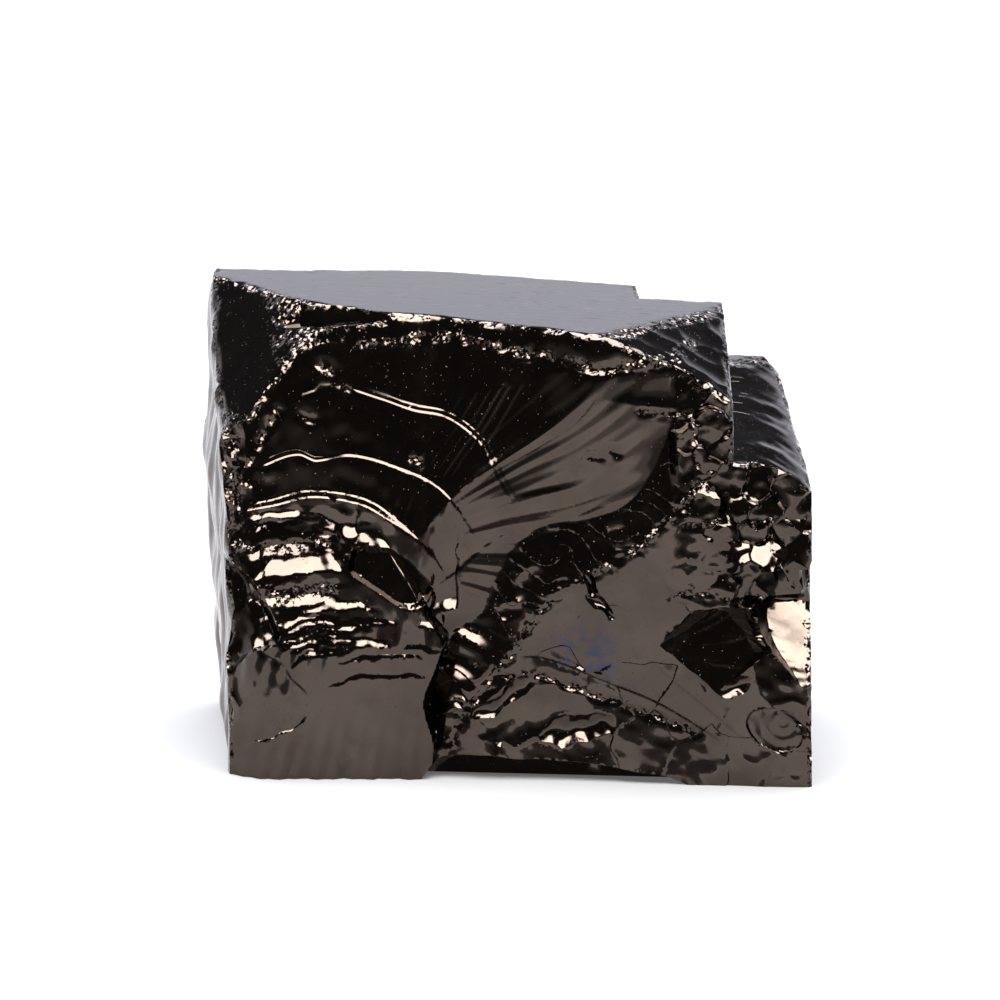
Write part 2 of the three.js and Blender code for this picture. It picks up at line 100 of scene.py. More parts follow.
# Chips of the sides, the front's left edge, the facet, the shoulder and all edges, and the faintest of them.
CHIP_SIZE, CHIP_BITE = 4.2, 0.5
CORNER_CHIP, CORNER_STRETCH, CORNER_BITE, CORNER_WIDTH = 2.8, (1, 1, 1.3), 0.8, 1.8
FACET_CHIP, FACET_BITE = 3.0, 0.28
SHOULDER_SPANS, SHOULDER_WAVES = ((18, 20), (22, 25)), (7, 41)
SHOULDER_CHIP, SHOULDER_BITE, SHOULDER_STRETCH = 5.5, 0.324, (1.5, 1, 0.8)
SHOULDER_FINE, SHOULDER_FINE_BITE, SHOULDER_FINE_STRETCH = 1.7, 0.216, (1.4, 1, 1)
EDGE_WIDTH, EDGE_BITE, EDGE_CHIP, EDGE_FINE, EDGE_WORN, EDGE_WAVES = 0.3, 0.3, 1.5, 0.6, 0.85, (6, 21)
CORNER_FAINT, SHOULDER_FAINT, FAINT = 0.05, 0.01, 0.02

# Broad form of the break. A lean is depth per mm past its start. A span eases in from its first value to its
# second. The panels are the part left of the ridges in the middle.
BREAK_DEEP, ROUNDING = 0.6, 1.5
RISE_START, RISE_LEAN = 15, 0.065
SIDE_START, SIDE_LEAN = -6.5, 0.055
BEND_START, BEND, BEND_SPAN = 8, 0.03, (22, 30)
HEAD_START, HEAD_LEAN = 33.5, 0.12
TIP_HOLLOW, TIP_SPANS, TIP_RISE = 0.4, ((-6, -3), (9, 4)), (24, 18)
PANEL_SPAN, PANEL_FORWARD, PANEL_BACK = (-3, -8), 0.3, 0.5
PANEL_LEAN, PANEL_RISE, PANEL_SLANT, PANEL_SHIFT, PANEL_EASE = 0.09, (9.5, 34), 0.6, 0.5, 8
FAN_LEAN, FAN_SIDE, FAN_RISE = 0.09, (3, 7), (18, 31)
# Lower-left face: blend at its edge, its corner at the far left, and its upright streaks (height per mm above
# their foot, waves per mm, how these close up with height, start). The groove runs along its right edge.
LOWER_LEFT_BLEND, LEFT_CORNER_DEEP, LEFT_CORNER_SPAN = 0.8, 1.8, (-19.5, -22.5)
LOWER_STREAKS, LOWER_STREAK_FOOT, LOWER_STREAK_SPAN = [(0.022, 1.7, 0, 1), (0.018, 4.1, 0.06, 0)], 6, (13, 10)
GROOVE, GROOVE_SPAN = 1.1, (14, 10)
# Ribs round one point, each a list of radius by direction (degrees from upright), first and last direction,
# heights of its two close steps, gap between them, direction where they join, and place and width of the fall
# behind them. They are fainter at the right.
RIB_CENTRE = (-12.5, 13.3)
RIB_STEP, RIB_TAPERS, RIB_JOIN, RIB_BACK, RIB_FAINT, RIB_FADE = 0.16, (7, 8), 30, 0.4, 0.45, (46, 32)
RIBS = [
    ([(-30, 17.6), (-15, 17.9), (-3, 18.4), (9, 17.8), (18.5, 17.6), (28, 18.3), (38, 18.2), (46.6, 17.3),
      (53.5, 16.9), (70, 16.6)], -18, 58, 0.11, 0.07, 0.42, 0.0, 2.2, 3.4),
    ([(-40, 14.2), (-29, 13.7), (-17, 13.4), (-11, 12.6), (2, 12.9), (19, 12.8), (33, 13.1), (42, 13.1),
      (54, 12.7), (70, 12.4)], -34, 60, 0.11, 0.05, 0.42, 10.0, 1.8, 2.6),
    ([(-50, 12.5), (-34, 10.5), (-18, 9.9), (-5, 9.4), (9, 9.1), (23, 8.75), (43, 8.85), (56, 8.9),
      (70, 8.9)], -52, 72, 0.11, 0.10, 0.50, 44.0, 1.8, 2.6),
]
# Ledges on the left: start x, z, end x, z, sag, height of the step, tapers, size of the fall above it.
LEDGES = [
    (-20.6, 20.9, -13.2, 20.6, 0.25, 0.55, 0.5, 0.3, 1.2),
    (-15.6, 20.4, -11.5, 19.6, 0.1, 0.75, 0.5, 0.06, 1.6),
    (-11.9, 19.1, -8.0, 18.5, 0.25, 0.6, 0.2, 0.45, 2.0),
    (-16.0, 19.5, -12.0, 18.9, 0.1, 0.25, 0.4, 0.3, 0.8),
    (-21.6, 17.5, -13.0, 19.0, 0.1, 0.6, 0.15, 0.5, 1.2),
    (-20.8, 16.2, -12.4, 17.0, 0.1, 1.15, 0.35, 0.12, 2.2),
    (-19.6, 13.9, -13.2, 14.5, 0.1, 0.6, 0.08, 0.3, 1.5),
    (-16.6, 13.5, -9.2, 13.7, 0.25, 0.6, 0.4, 0.4, 1.3),
    (-18.4, 12.3, -12.6, 13.4, 0.05, 0.22, 0.2, 0.3, 0.5),
    (-18.2, 11.9, -12.4, 13.0, 0.05, 0.18, 0.2, 0.3, 0.5),
    (-18.0, 11.2, -12.4, 12.5, 0.05, 0.22, 0.2, 0.3, 0.6),
    (-17.8, 10.6, -12.2, 11.9, 0.1, 0.25, 0.1, 0.3, 0.8),
    (-13.2, 12.2, -8.2, 12.8, 0.1, 0.3, 0.1, 0.1, 1.0),
    (-17.1, 9.4, -8.5, 11.0, 0.35, 0.42, 0.1, 0.1, 1.4),
    (-7.7, 10.9, -4.3, 10.5, 0.05, 0.28, 0.1, 0.4, 1.2),
    (-14.2, 9.6, -5.5, 10.0, 0.2, 0.3, 0.5, 0.2, 0.5),
    (-14.6, 7.5, -5.3, 8.4, 0.5, 0.24, 0.3, 0.2, 0.7),
    (-6.4, 12.6, -4.2, 12.6, 0.1, 0.45, 0.1, 0.2, 0.8),
    (-5.6, 12.9, -3.1, 14.0, 0.1, 1.1, 0.2, 0.1, 1.0),
    (-21.8, 20.6, -15.5, 21.2, 0.2, 0.55, 0.3, 0.2, 1.2),
]
LEDGE_SLOPE, LEDGE_FALL, LEDGE_TOP = 0.5, 4.0, 22.0
LEDGE_LEFT, LEDGE_RIGHT, LEDGE_FOOT, LEDGE_WARP = -23, -3, 5, (0.16, 2.6, 5)
# Above LEDGE_TOP their depth is carried on, evened out sideways, and mostly given back by the top.
CARRY_ACROSS, CARRY_EVEN, CARRY_BLEND, CARRY_LOSS, CARRY_HEIGHT = np.linspace(-25, -1, 241), 41, 0.7, 0.8, 14
# Small steps between the ledges: how many, and the limits of their start, length, height, slant and fall.
FINE_COUNT, FINE_X, FINE_Z, FINE_LONG = 32, (-21, -13), (9.5, 20.5), (2.5, 7)
FINE_RISE, FINE_SLANT, FINE_FALL, FINE_SAG, FINE_TAPER = (0.04, 0.2), (0.02, 0.2), (1, 3), 0.05, 0.3
# Curved flutes of the fan: path (x, z), start x, ramp, end x, ramp, depth, near width, far width.
FAN_LINE = [(-5, 19.6), (-2.2, 20.6), (1.9, 21.6), (5.2, 22.3), (8.5, 23.4), (12, 25)]
FLUTES = [
    ([(-1, 23.0), (0.8, 23.2), (5.2, 24.0), (8.5, 25.0), (12, 26.4)], -0.5, 3.0, 9.5, 6, 0.32, 0.9, 1.6),
    (FAN_LINE, -2.5, 3.5, 11, 4, 0.14, 0.5, 0.9),
    ([(-6.5, 14.9), (-3.8, 16.6), (0.3, 20.0), (4.4, 20.9),
      (8.5, 22.6)], -6.0, 1.5, 10, 3, 0.09, 0.18, 0.35),
    ([(-2.5, 23.6), (0.3, 25.6), (3.6, 27.5), (6.5, 29.6), (8.2, 31.8),
      (9.4, 35)], -2, 2, 9, 2, 0.06, 0.12, 0.25),
    ([(9, 31.6), (11.8, 31.2), (15.8, 30.7), (18.2, 30.3), (22, 30)], 8.5, 3.5, 20, 2, 0.45, 0.9, 2.6),
]
# Streaks that spread out along the fan from its tip: height, widths, spans, and the swells they are made of.
FAN_STREAK, STREAK_TIP, STREAK_WIDTH, STREAK_SPREAD = 0.022, -6, 0.5, 0.11
STREAK_SPANS, STREAK_BAND, STREAK_FADE, STREAK_FADING = ((-5, -1), (14, 10)), (8, 4), 0.55, (2, 8)
STREAK_SWELLS = [(1.0, 2.3, 0), (0.6, 5.3, 1), (0.4, 9.1, 2)]
# Fine ridges that run up the middle of the break: path (z, x), and offset, height and width of each.
HACKLE = [(17, -7.4), (19.5, -6.7), (23.8, -5.1), (26.5, -3.4), (28.9, -1.7), (31.1, -0.4), (33.4, 1.0),
          (36, 2.6), (39, 4.2)]
HACKLE_LINES = [(0.0, 0.09, 0.2), (-0.6, 0.05, 0.16), (0.5, 0.06, 0.16), (-1.4, 0.06, 0.2),
                (-2.3, 0.05, 0.22), (1.3, 0.05, 0.18)]
HACKLE_COSINE, HACKLE_SPAN = 0.82, (19, 22)
# A hollow scar: centre x, z, radii, turn in degrees, depth, lean per mm sideways and upward, floor. The lens
# takes its depth and lean from the values after it.
LENS_SCAR, LENS_DEEP, LENS_LEAN, LENS_BLEND = (-8.7, 16.6, 3.9, 1.9, -28, 1, 0, 0, 0), 1.0, 0.16, 0.3
SCAR_WARP = (0.25, 3.2, 6)
# Recesses at the left: a slight one with a curved right side, and the spall broken from the edge. Each has
# its right side (z, x), steepness of the wall there, depth at its foot, foot, and leans upward and leftward.
THUMB_SIDE = [(2, -22), (3.4, -18.6), (4.4, -16.5), (5.4, -15.7), (6.4, -15.5), (7.4, -15.7), (8.4, -16.4),
              (9.4, -17.4), (10.4, -18.6), (12, -21)]
SPALL_SIDE = [(7.2, -23), (9, -21.3), (10.6, -19.3), (12, -17.9), (15, -19.4), (17, -20.9), (18.5, -22.5)]
RECESSES = [(THUMB_SIDE, 0.8, 0, 2.0, 0.05, -0.03), (SPALL_SIDE, 1.8, 0.8, 9.5, 0.2, 0.12)]
# More hollow scars, on the dark step and on the block.
RISER_SCARS = [
    (2.2, 16.6, 2.4, 1.3, 50, 0.5, 0, 0.05, 0.6),
    (-0.6, 12.9, 1.7, 0.9, 20, 0.4, 0, 0.75, 0.3),
    (-2.6, 11.6, 0.8, 1.1, 30, 0.3, 0, 0.75, 0.6),
]
BLOCK_SCARS = [
    (3.4, 4.6, 4.6, 2.3, 14, 0.35, 0, 0.16, 0.1),
    (5.7, 3.4, 2.3, 0.9, 12, 0.4, 0, 0.75, 0.3),
    (8.3, 15.4, 0.6, 0.25, -60, 0.1, 0, 0.8, 0.02),
    (9.2, 14.0, 0.7, 0.25, -40, 0.1, 0, 0.8, 0.02),
    (-1.2, 5.0, 0.8, 0.3, 35, 0.1, 0, 0.8, 0.05),
    (0.7, 5.8, 0.8, 0.35, 45, 0.1, 0, 0.8, 0.05),
    (19.3, 7.6, 0.9, 0.45, 25, 0.2, 0, 0.8, 0.1),
]
BLOCK_WARP = (0.25, 3, 17)
# Low face at the foot of the block, and the low fold at its right: upper line (x, z), spans, lean or height.
LOW_LINE = [(-2, 10.5), (0.3, 10.3), (4, 10.1), (8.5, 8.5), (13.5, 6.5), (18.4, 3.6), (22, 1.4)]
LOW_SPANS, LOW_LEAN, LOW_BLEND = ((1.5, 3.5), (19, 17)), 0.06, 0.4
FOLD_LINE = [(11, 11.8), (13, 9.9), (20.5, 3.7), (24, 0.8)]
FOLD_SPANS, FOLD_HEIGHT, FOLD_BLEND, FOLD_FALL = ((12.2, 13.7), (21, 19)), 0.1, 0.35, 3
# Pocket: its corners (x, z) with how steep the wall after each is, its floor, and the fine arcs across it.
POCKET = [((13.5, 11.6), 1.4), ((16.3, 14.5), 3.0), ((19.9, 14.9), 1.6), ((22.2, 10.9), 2.0),
          ((18.3, 7.7), 0.55)]
POCKET_MIDDLE, POCKET_DEEP, POCKET_LEAN, POCKET_WARP = 11.5, 1.1, 0.27, (0.1, 3, 17)
POCKET_ARCS, ARC_CENTRE_X, ARC_BEND, ARC_HEIGHT, ARC_WIDTH = (0.3, 0.18, -0.12, -0.45), 13, 0.03, 0.035, 0.14
# Shallow oval scar, its depth, lean and wall, and the rings round its upper right.
RING_SCAR, RING_DEEP, RING_LEAN, RING_WALL = (22.9, 4.6, 2.5, 1.7, -25, 1, 0, 0, 0), 0.4, 0.1, 3
RING_CENTRE, RING_HEIGHT, RING_WAVES = (23.6, 5.2), 0.006, 7
# Flat facets: centre x, z, and how far each falls back per mm sideways and upward.
ROUGH_FACETS = [
    (12.7, 35.5, 0.15, 0.1), (14.5, 35, -0.1, 0.22), (16.1, 36.2, 0.1, 0.1), (17.8, 35.9, 0, 0.03),
    (17.3, 33.8, 0.1, 0.75), (13.1, 32.3, 0, 0.24), (15.5, 31.7, 0.05, 0.28), (18.4, 32.3, -0.1, 0.08),
    (20.5, 31.1, 0.05, 0.03), (17.3, 29.1, 0.2, 0.09), (19.1, 27.9, -0.05, 0.07), (21.1, 27.9, 0.15, 0.05),
    (22.7, 29, 0.3, 0.2), (17, 24.4, 0, 0.8), (16.6, 25.6, 0.05, 0.12), (16.8, 23.2, 0, 0.2),
    (19.1, 25.3, 0.1, 0.12), (21.3, 24.8, 0, 0.25), (23.1, 26.1, 0, 0.75), (23.9, 25.1, 0.05, 0.2),
    (22.2, 25.8, 0, 0.2), (24.3, 26.6, 0.1, 0.2), (24, 23.9, -0.05, 0.22), (15.1, 22.7, 0, 0.3),
    (19.7, 22.6, 0, 0.3), (22.1, 22.4, 0.05, 0.22), (24.6, 22, 0.3, 0.15), (18.6, 20.9, 0, 0.1),
    (21.3, 20.8, -0.05, 0.03), (23.7, 21, 0.05, 0), (21.9, 19.5, 0, 0.75), (19.7, 19.1, 0.05, 0.65),
    (24.4, 19, 0, 0.28), (17.8, 19.1, 0.12, 0.04), (15.9, 20.3, -0.15, 0.12), (16.8, 17.3, 0.05, 0.03),
    (18.6, 17, -0.15, 0.12), (20.3, 17.1, 0.12, 0.02), (21.9, 16, 0.05, 0.1), (24.2, 16.6, 0, 0),
    (26, 16, 0.3, 0.2),
]
BLOCK_FACETS = [
    (1.9, 11.7, 0, 0.02), (4.6, 14.1, 0.02, 0), (7.8, 16.5, -0.03, 0.02), (11.8, 16.6, 0.03, 0),
    (8.7, 12.5, 0, 0.01), (12, 12.4, 0.03, 0.03), (13.8, 18.7, -0.02, 0.02), (4.3, 8.5, 0.05, 0.07),
    (0.7, 6.5, -0.1, 0.1), (-1.7, 3.5, -0.15, 0.12), (5.7, 6.2, 0.06, 0.05), (9.2, 5.7, 0, 0.075),
    (11.8, 7.7, 0.05, 0.03), (11.9, 3.9, 0.03, 0.08), (15.9, 6.3, 0.02, 0.02), (17.2, 2.6, 0, 0.085),
    (20.7, 5.8, 0.06, 0.02), (20.9, 2, -0.05, 0.08), (24.6, 1.7, 0.03, 0.07), (24.2, 7.8, 0.1, 0.2),
    (18.8, 7, -0.04, 0.03), (7.7, 2, 0, 0.1), (2, 2.3, 0, 0.1),
]
# Widths over which a facet eases into the next one, and where the facets begin.
FACET_GAP = 5.0
BLOCK_FACET_WARP, BLOCK_FACET_BLEND, BLOCK_FACET_EDGE = (0.35, 3.5, 31), 0.3, 0.35
BLOCK_FACET_EASE, BLOCK_SCAR_EASE, BLOCK_FACET_SPAN = 0.3, 0.15, (-5, -3)
ROUGH_WARP, ROUGH_BLEND, ROUGH_SIDE, ROUGH_FOOT = (0.45, 3, 71), 0.35, (14, 15.5), (14.8, 15.4)
# Fainter facets over both: size, tilt and hollow.
BLOCK_FAINT_FACETS, ROUGH_FAINT_FACETS, FAINT_SHIFT = (2.1, 0.06, 0.03), (1.9, 0.25, 0.1), 9
# Crushed, glinting bands on the front: path (x, z), half width, depth of the chips.
CRUSHED = [
    ([(-18.5, 37.2), (-16, 36.2), (-13.4, 35.4), (-11, 35.2), (-8, 35.5), (-4, 35.9), (0, 35.4),
      (2.4, 34.9), (5, 34.7), (8, 34.1), (11, 34.3), (14.4, 34.6), (18, 35.6)], 0.6, 0.35),
    ([(-21.9, 36), (-22, 30), (-22, 24), (-21.6, 20)], 0.9, 0.6),
    ([(-4.3, 1.5), (-2.8, 5), (0.2, 9), (2, 11.6), (3.4, 14), (5, 15.6), (7.2, 17), (9.8, 18.4), (12, 20),
      (15, 23), (17.5, 26)], 0.45, 0.35),
    ([(0.2, 8.6), (4, 8.6), (8.4, 7), (13.4, 5.4), (16.6, 4.2)], 0.4, 0.3),
    ([(-21.6, 18.5), (-18, 18.6), (-14, 19.3)], 0.6, 0.35),
    ([(-20.4, 14.5), (-17, 15), (-13.6, 15.4)], 0.8, 0.45),
    ([(11.8, 30.6), (16.3, 30), (16.1, 27.5), (16.8, 25.2)], 0.35, 0.3),
    ([(22.6, 19.2), (23.9, 17), (24.6, 15)], 0.35, 0.3),
    ([(14.4, 15.8), (16.4, 16.2), (18.4, 15.6), (20.2, 15.3)], 0.4, 0.35),
    ([(15.5, 21.5), (18, 22), (21, 21.7), (25.5, 21.6)], 0.35, 0.3),
    ([(-18.2, 29.7), (-20, 26.6), (-21.4, 23.6)], 0.4, 0.4),
    ([(-14.4, 33.2), (-13.8, 32.8)], 0.55, 0.5),
    ([(-12.6, 31.7), (-12.2, 31.5)], 0.4, 0.4),
    ([(-15.9, 29.2), (-15.3, 29)], 0.45, 0.4),
    ([(-20.9, 23.6), (-19.9, 23.9)], 0.5, 0.4),
    ([(-6.9, 26.1), (-6.2, 25.9)], 0.4, 0.3),
    ([(7.9, 26.8), (8.6, 27)], 0.45, 0.35),
    ([(9.5, 27.4), (9.9, 27.2)], 0.35, 0.3),
]
COARSE_CRUSH, FINE_CRUSH, CRUSH_STRETCH = 1.3, 0.6, (1.4, 1, 1)

# Fine mesh: strips across, through and up, and how many finer strips the front has for each of them.
ACROSS, THROUGH, UPWARD, FINER = ((96, 67, 71, 3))
# Rays start from a box well inside the stone and end beyond its outer box: first and last share of the way.
HEART_LOW = np.array([-15.0, -5.0, 9.0])
HEART_HIGH = np.array([9.0, 7.0, 25.0])
FIRST_STEP, REACH, MARCH_STEPS, HALVINGS = 0.15, 1.35, 26, 16
CREASE_PASSES, CREASE_PULL, CREASE_REACH, PROBE = 2, 0.1, 0.6, 0.03
SHARP_ANGLE, GROUND_SNAP, CRUSHED_SPAN, CRUSHED_EDGE = 28, 0.04, (-4, -8), 0.5
# Tables of the front's and the left side's heights: their limits and steps.
MAP_ACROSS, MAP_THROUGH, MAP_UP, MAP_STEP, LEFT_MAP_STEP = (-28, 28), (-20, 20), (-1, 40), 0.06, 0.1


def smooth(a):
    """Eased from 0 to 1."""
    a = np.clip(a, 0, 1)
    return a * a * (3 - 2 * a)


def between(v, start, end):
    """Eased from 0 at the start to 1 at the end, whichever of the two is larger."""
    return smooth((v - start) / (end - start))


def within(v, spans):
    """Product of two spans, so 1 between them and 0 outside."""
    return between(v, *spans[0]) * between(v, *spans[1])


def ramp(d, width):
    """Eased from 0 to 1 over a width with its middle at 0."""
    return smooth(d / width + 0.5)


def bell(v, width):
    """1 where v is 0, falling off smoothly on both sides."""
    return np.exp(-(v / width) ** 2)


def curve(t, knots):
    """Smooth curve through knots (t, value)."""
    tk, vk = np.array(knots, float).T
    m = np.gradient(vk, tk)
    m[1:-1] = (vk[2:] - vk[:-2]) / (tk[2:] - tk[:-2])
    i = np.clip(np.searchsorted(tk, t) - 1, 0, len(tk) - 2)
    h = tk[i + 1] - tk[i]
    s = np.clip((t - tk[i]) / h, 0, 1)
    r = 1 - s
    ends = vk[i] * (1 + 2 * s) * r * r + vk[i + 1] * s * s * (3 - 2 * s)
    return ends + m[i] * h * s * r * r - m[i + 1] * h * s * s * r


def above(x, z, line, reach):
    """Distance above a line drawn across the front face, its slope taken over the reach."""
    slope = (curve(x + reach, line) - curve(x - reach, line)) / (2 * reach)
    return (z - curve(x, line)) / np.hypot(1, slope)


def above_smooth(t):
    """t where it is positive and 0 where it isn't, with the corner rounded off."""
    return (t + np.hypot(t, ROUNDING)) / 2


def along(v, span):
    """How far v has come along a span, with both ends rounded off."""
    return above_smooth(v - span[0]) - above_smooth(v - span[1])


def near(x, z, path):
    """Distance to an open path of straight stretches."""
    best = np.full(np.shape(x), 1e9)
    for (x0, z0), (x1, z1) in zip(path[:-1], path[1:]):
        dx, dz = x1 - x0, z1 - z0
        s = np.clip(((x - x0) * dx + (z - z0) * dz) / (dx * dx + dz * dz), 0, 1)
        best = np.minimum(best, np.hypot(x - x0 - s * dx, z - z0 - s * dz))
    return best


def beyond(x, z, path):
    """Distance from a path drawn across the front face, positive above it."""
    xk, zk = np.array(path, float).T
    return near(x, z, path) * np.sign(z - np.interp(x, xk, zk))


def fractions(i, j, k):
    """Three repeatable fractions for one cell of a chip pattern."""
    n = (i * 73856093) ^ (j * 19349663) ^ (k * 83492791)
    n = (n ^ (n >> 13)) & 0x7FFFFFFF
    n = (n * 1274126177) & 0x7FFFFFFF
    n = n ^ (n >> 15)
    return (n & 1023) / 1023, ((n >> 10) & 1023) / 1023, ((n >> 20) & 1023) / 1023


def chips(x, y, z, size, stretch=(1, 1, 1)):
    """Hollow chips meeting at crisp ridges: 0 in the middle of a chip, about 1 on its rim."""
    p = [x / size / stretch[0], y / size / stretch[1], z / size / stretch[2]]
    c = [np.floor(v - 0.5).astype(np.int64) for v in p]
    best = np.full(np.shape(x), 9.0)
    for i in (0, 1):
        for j in (0, 1):
            for k in (0, 1):
                cell = (c[0] + i, c[1] + j, c[2] + k)
                offsets = fractions(*cell)
                d = sum((a + 0.15 + 0.7 * f - v) ** 2 for a, f, v in zip(cell, offsets, p))
                best = np.minimum(best, d)
    return best


def facets(x, z, size, tilt, hollow):
    """Broad, barely hollow facets, each with its own small tilt, meeting at low creases."""
    p = [x / size, z / size]
    c = [np.floor(v - 0.5).astype(np.int64) for v in p]
    best = np.full(np.shape(x), 9.0)
    for i in (-1, 0, 1, 2):
        for k in (-1, 0, 1, 2):
            cell = (c[0] + i, 0 * c[0] + 5, c[1] + k)
            f = fractions(*cell)
            g = fractions(cell[0] + 31, cell[1] + 7, cell[2] + 13)
            u, v = p[0] - cell[0] - 0.15 - 0.7 * f[0], p[1] - cell[2] - 0.15 - 0.7 * f[2]
            best = np.minimum(best, hollow * (u * u + v * v) + tilt * ((g[1] - 0.5) * u + (g[2] - 0.5) * v))
    return size * best


def waves(x, y, z, size, seed):
    """Gentle uneven swell between about -1 and 1."""
    rng = np.random.default_rng(seed)
    total = 0
    for octave in range(3):
        for _ in range(3):
            d = rng.normal(size=3)
            d *= (1.7 ** octave) * 2 * math.pi / size / np.linalg.norm(d)
            swell = np.sin(d[0] * x + d[1] * y + d[2] * z + rng.uniform(0, 6.28))
            total = total + swell / (1.6 ** octave) / 3
    return total


def scar(x, z, shape):
    """Depth of a hollow oval flake scar."""
    cx, cz, rx, rz, turn, depth, lean_x, lean_z, floor = shape
    a = math.radians(turn)
    dx, dz = x - cx, z - cz
    p = dx * math.cos(a) + dz * math.sin(a)
    q = dz * math.cos(a) - dx * math.sin(a)
    return floor + depth * (1 - (p / rx) ** 2 - (q / rz) ** 2) + lean_x * dx + lean_z * dz


def deepest(x, z, depth, scars):
    """The given depth, or that of the deepest scar where one is deeper."""
    for shape in scars:
        depth = np.maximum(depth, scar(x, z, shape))
    return depth


def rib_depth(x, z):
    """Depth gained at the double steps that run round the rib centre."""
    dx, dz = x - RIB_CENTRE[0], z - RIB_CENTRE[1]
    r = np.hypot(dx, dz)
    angle = np.degrees(np.arctan2(dx, dz))
    gain = RIB_FAINT + (1 - RIB_FAINT) * between(angle, *RIB_FADE)
    depth = 0
    for radius, first, last, low, high, gap, join, back, back_width in RIBS:
        out = r - curve(angle, radius)
        ends = smooth((angle - first) / RIB_TAPERS[0]) * smooth((last - angle) / RIB_TAPERS[1]) * gain
        split = gap if join == 0 else gap * smooth((join - angle) / RIB_JOIN)
        steps = low * ramp(out, RIB_STEP) + high * ramp(out - split, RIB_STEP)
        depth = depth + ends * (steps - RIB_BACK * (low + high) * ramp(out - back, back_width))
    return depth


def ledge_depth(x, z, shape):
    """Depth gained over one ledge, which fades above it."""
    x0, z0, x1, z1, sag, rise, start, end, fall = shape
    s = np.clip((x - x0) / (x1 - x0), 0, 1)
    up = z - (z0 + (z1 - z0) * s + 4 * sag * s * (1 - s))
    height = rise * smooth(s / start) * smooth((1 - s) / end)
    lift = np.clip(up / np.maximum(height, 1e-4), 0, 1)
    return LEDGE_SLOPE * height * lift * np.exp(-np.maximum(up - height, 0) / (LEDGE_FALL * fall))


def fine_ledges():
    """Many small steps between the large ledges, the same ones each time."""
    rng = np.random.default_rng(11)
    made = []
    for _ in range(FINE_COUNT):
        x0, long = rng.uniform(*FINE_X), rng.uniform(*FINE_LONG)
        z0 = rng.uniform(*FINE_Z)
        rise = rng.uniform(*FINE_RISE)
        z1 = z0 + long * rng.uniform(*FINE_SLANT)
        made.append((x0, z0, x0 + long, z1, FINE_SAG, rise, FINE_TAPER, FINE_TAPER, rng.uniform(*FINE_FALL)))
    return made


def warp(x, z, amount, size, seed):
    """Front layout coordinates pushed about a little, so that edges run unevenly."""
    return x + amount * waves(x, z, 0, size, seed), z + amount * waves(x, z, 0, size, seed + 50)


def fan_streaks(x, z):
    """Low streaks that spread out from the tip of the fan."""
    spread = STREAK_WIDTH + STREAK_SPREAD * np.maximum(x - STREAK_TIP, 0)
    w = (z - curve(x, FAN_LINE)) / spread
    share = within(x, STREAK_SPANS) * between(np.abs(w), *STREAK_BAND)
    share = share * (1 - STREAK_FADE * between(x, *STREAK_FADING))
    swells = sum(part * np.sin(turns * w + start) for part, turns, start in STREAK_SWELLS)
    return FAN_STREAK * share * spread * swells


def broad_depth(x, z, nearness):
    """The break without its ribs, ridges, ledges and scars, from its depth at the datum."""
    d = nearness + RISE_LEAN * above_smooth(z - RISE_START) + SIDE_LEAN * np.maximum(x - SIDE_START, 0)
    d = d + BEND * np.maximum(x - BEND_START, 0) ** 2 * between(z, *BEND_SPAN)
    d = d + HEAD_LEAN * above_smooth(z - HEAD_START)
    d = d + TIP_HOLLOW * within(x, TIP_SPANS) * between(z, *TIP_RISE)
    panels = smooth((PANEL_SLANT * curve(z, HACKLE) + PANEL_SHIFT - x) / PANEL_EASE)
    d = d + PANEL_LEAN * panels * along(z, PANEL_RISE)
    d = d - FAN_LEAN * between(x, *FAN_SIDE) * along(z, FAN_RISE)
    d = d + fan_streaks(x, z)
    past = np.maximum(above(x, z, BREAK_LINE, BREAK_REACH), 0)
    return d + BREAK_LEAN * past + BREAK_BAND * within(x, BAND_SPANS) * (1 - np.exp(-past / BAND_FALL))


def ridge_depth(x, z):
    """The fine ridges up the middle, which stand proud, and the curved flutes of the fan."""
    d = 0
    across = (x - curve(z, HACKLE)) * HACKLE_COSINE
    for shift, height, width in HACKLE_LINES:
        d = d - between(z, *HACKLE_SPAN) * height * bell(across - shift, width)
    for path, x0, ramp0, x1, ramp1, depth, near_width, far_width in FLUTES:
        t = np.maximum(z - curve(x, path), 0)
        flute = depth * (1 - np.exp(-t / near_width)) * np.exp(-t / far_width)
        d = d + smooth((x - x0) / ramp0) * smooth((x1 - x) / ramp1) * flute
    return d


def lower_left_depth(x, z, left_share, nearness):
    """What the smooth lower-left face and the groove along its right edge add to the break."""
    forward = LOWER_LEFT_Y - FRONT_Y - FRONT_SKEW * x + LEFT_CORNER_DEEP * between(x, *LEFT_CORNER_SPAN)
    forward = forward + PANEL_BACK * left_share - nearness
    fade = np.clip((LOWER_LEFT_HEAD + LOWER_LEFT_FADE - z) / LOWER_LEFT_FADE, 0, 1)
    streaks = 0
    for gain, turns, closer, start in LOWER_STREAKS:
        streaks = streaks + gain * np.sin((turns + closer * z) * x + start)
    streaks = (z - LOWER_STREAK_FOOT) * streaks * between(z, *LOWER_STREAK_SPAN)
    face = ramp(curve(z, LOWER_LEFT_EDGE) - x, LOWER_LEFT_BLEND)
    return (forward * fade + streaks) * face + GROOVE * between(z, *GROOVE_SPAN) * (1 - face)


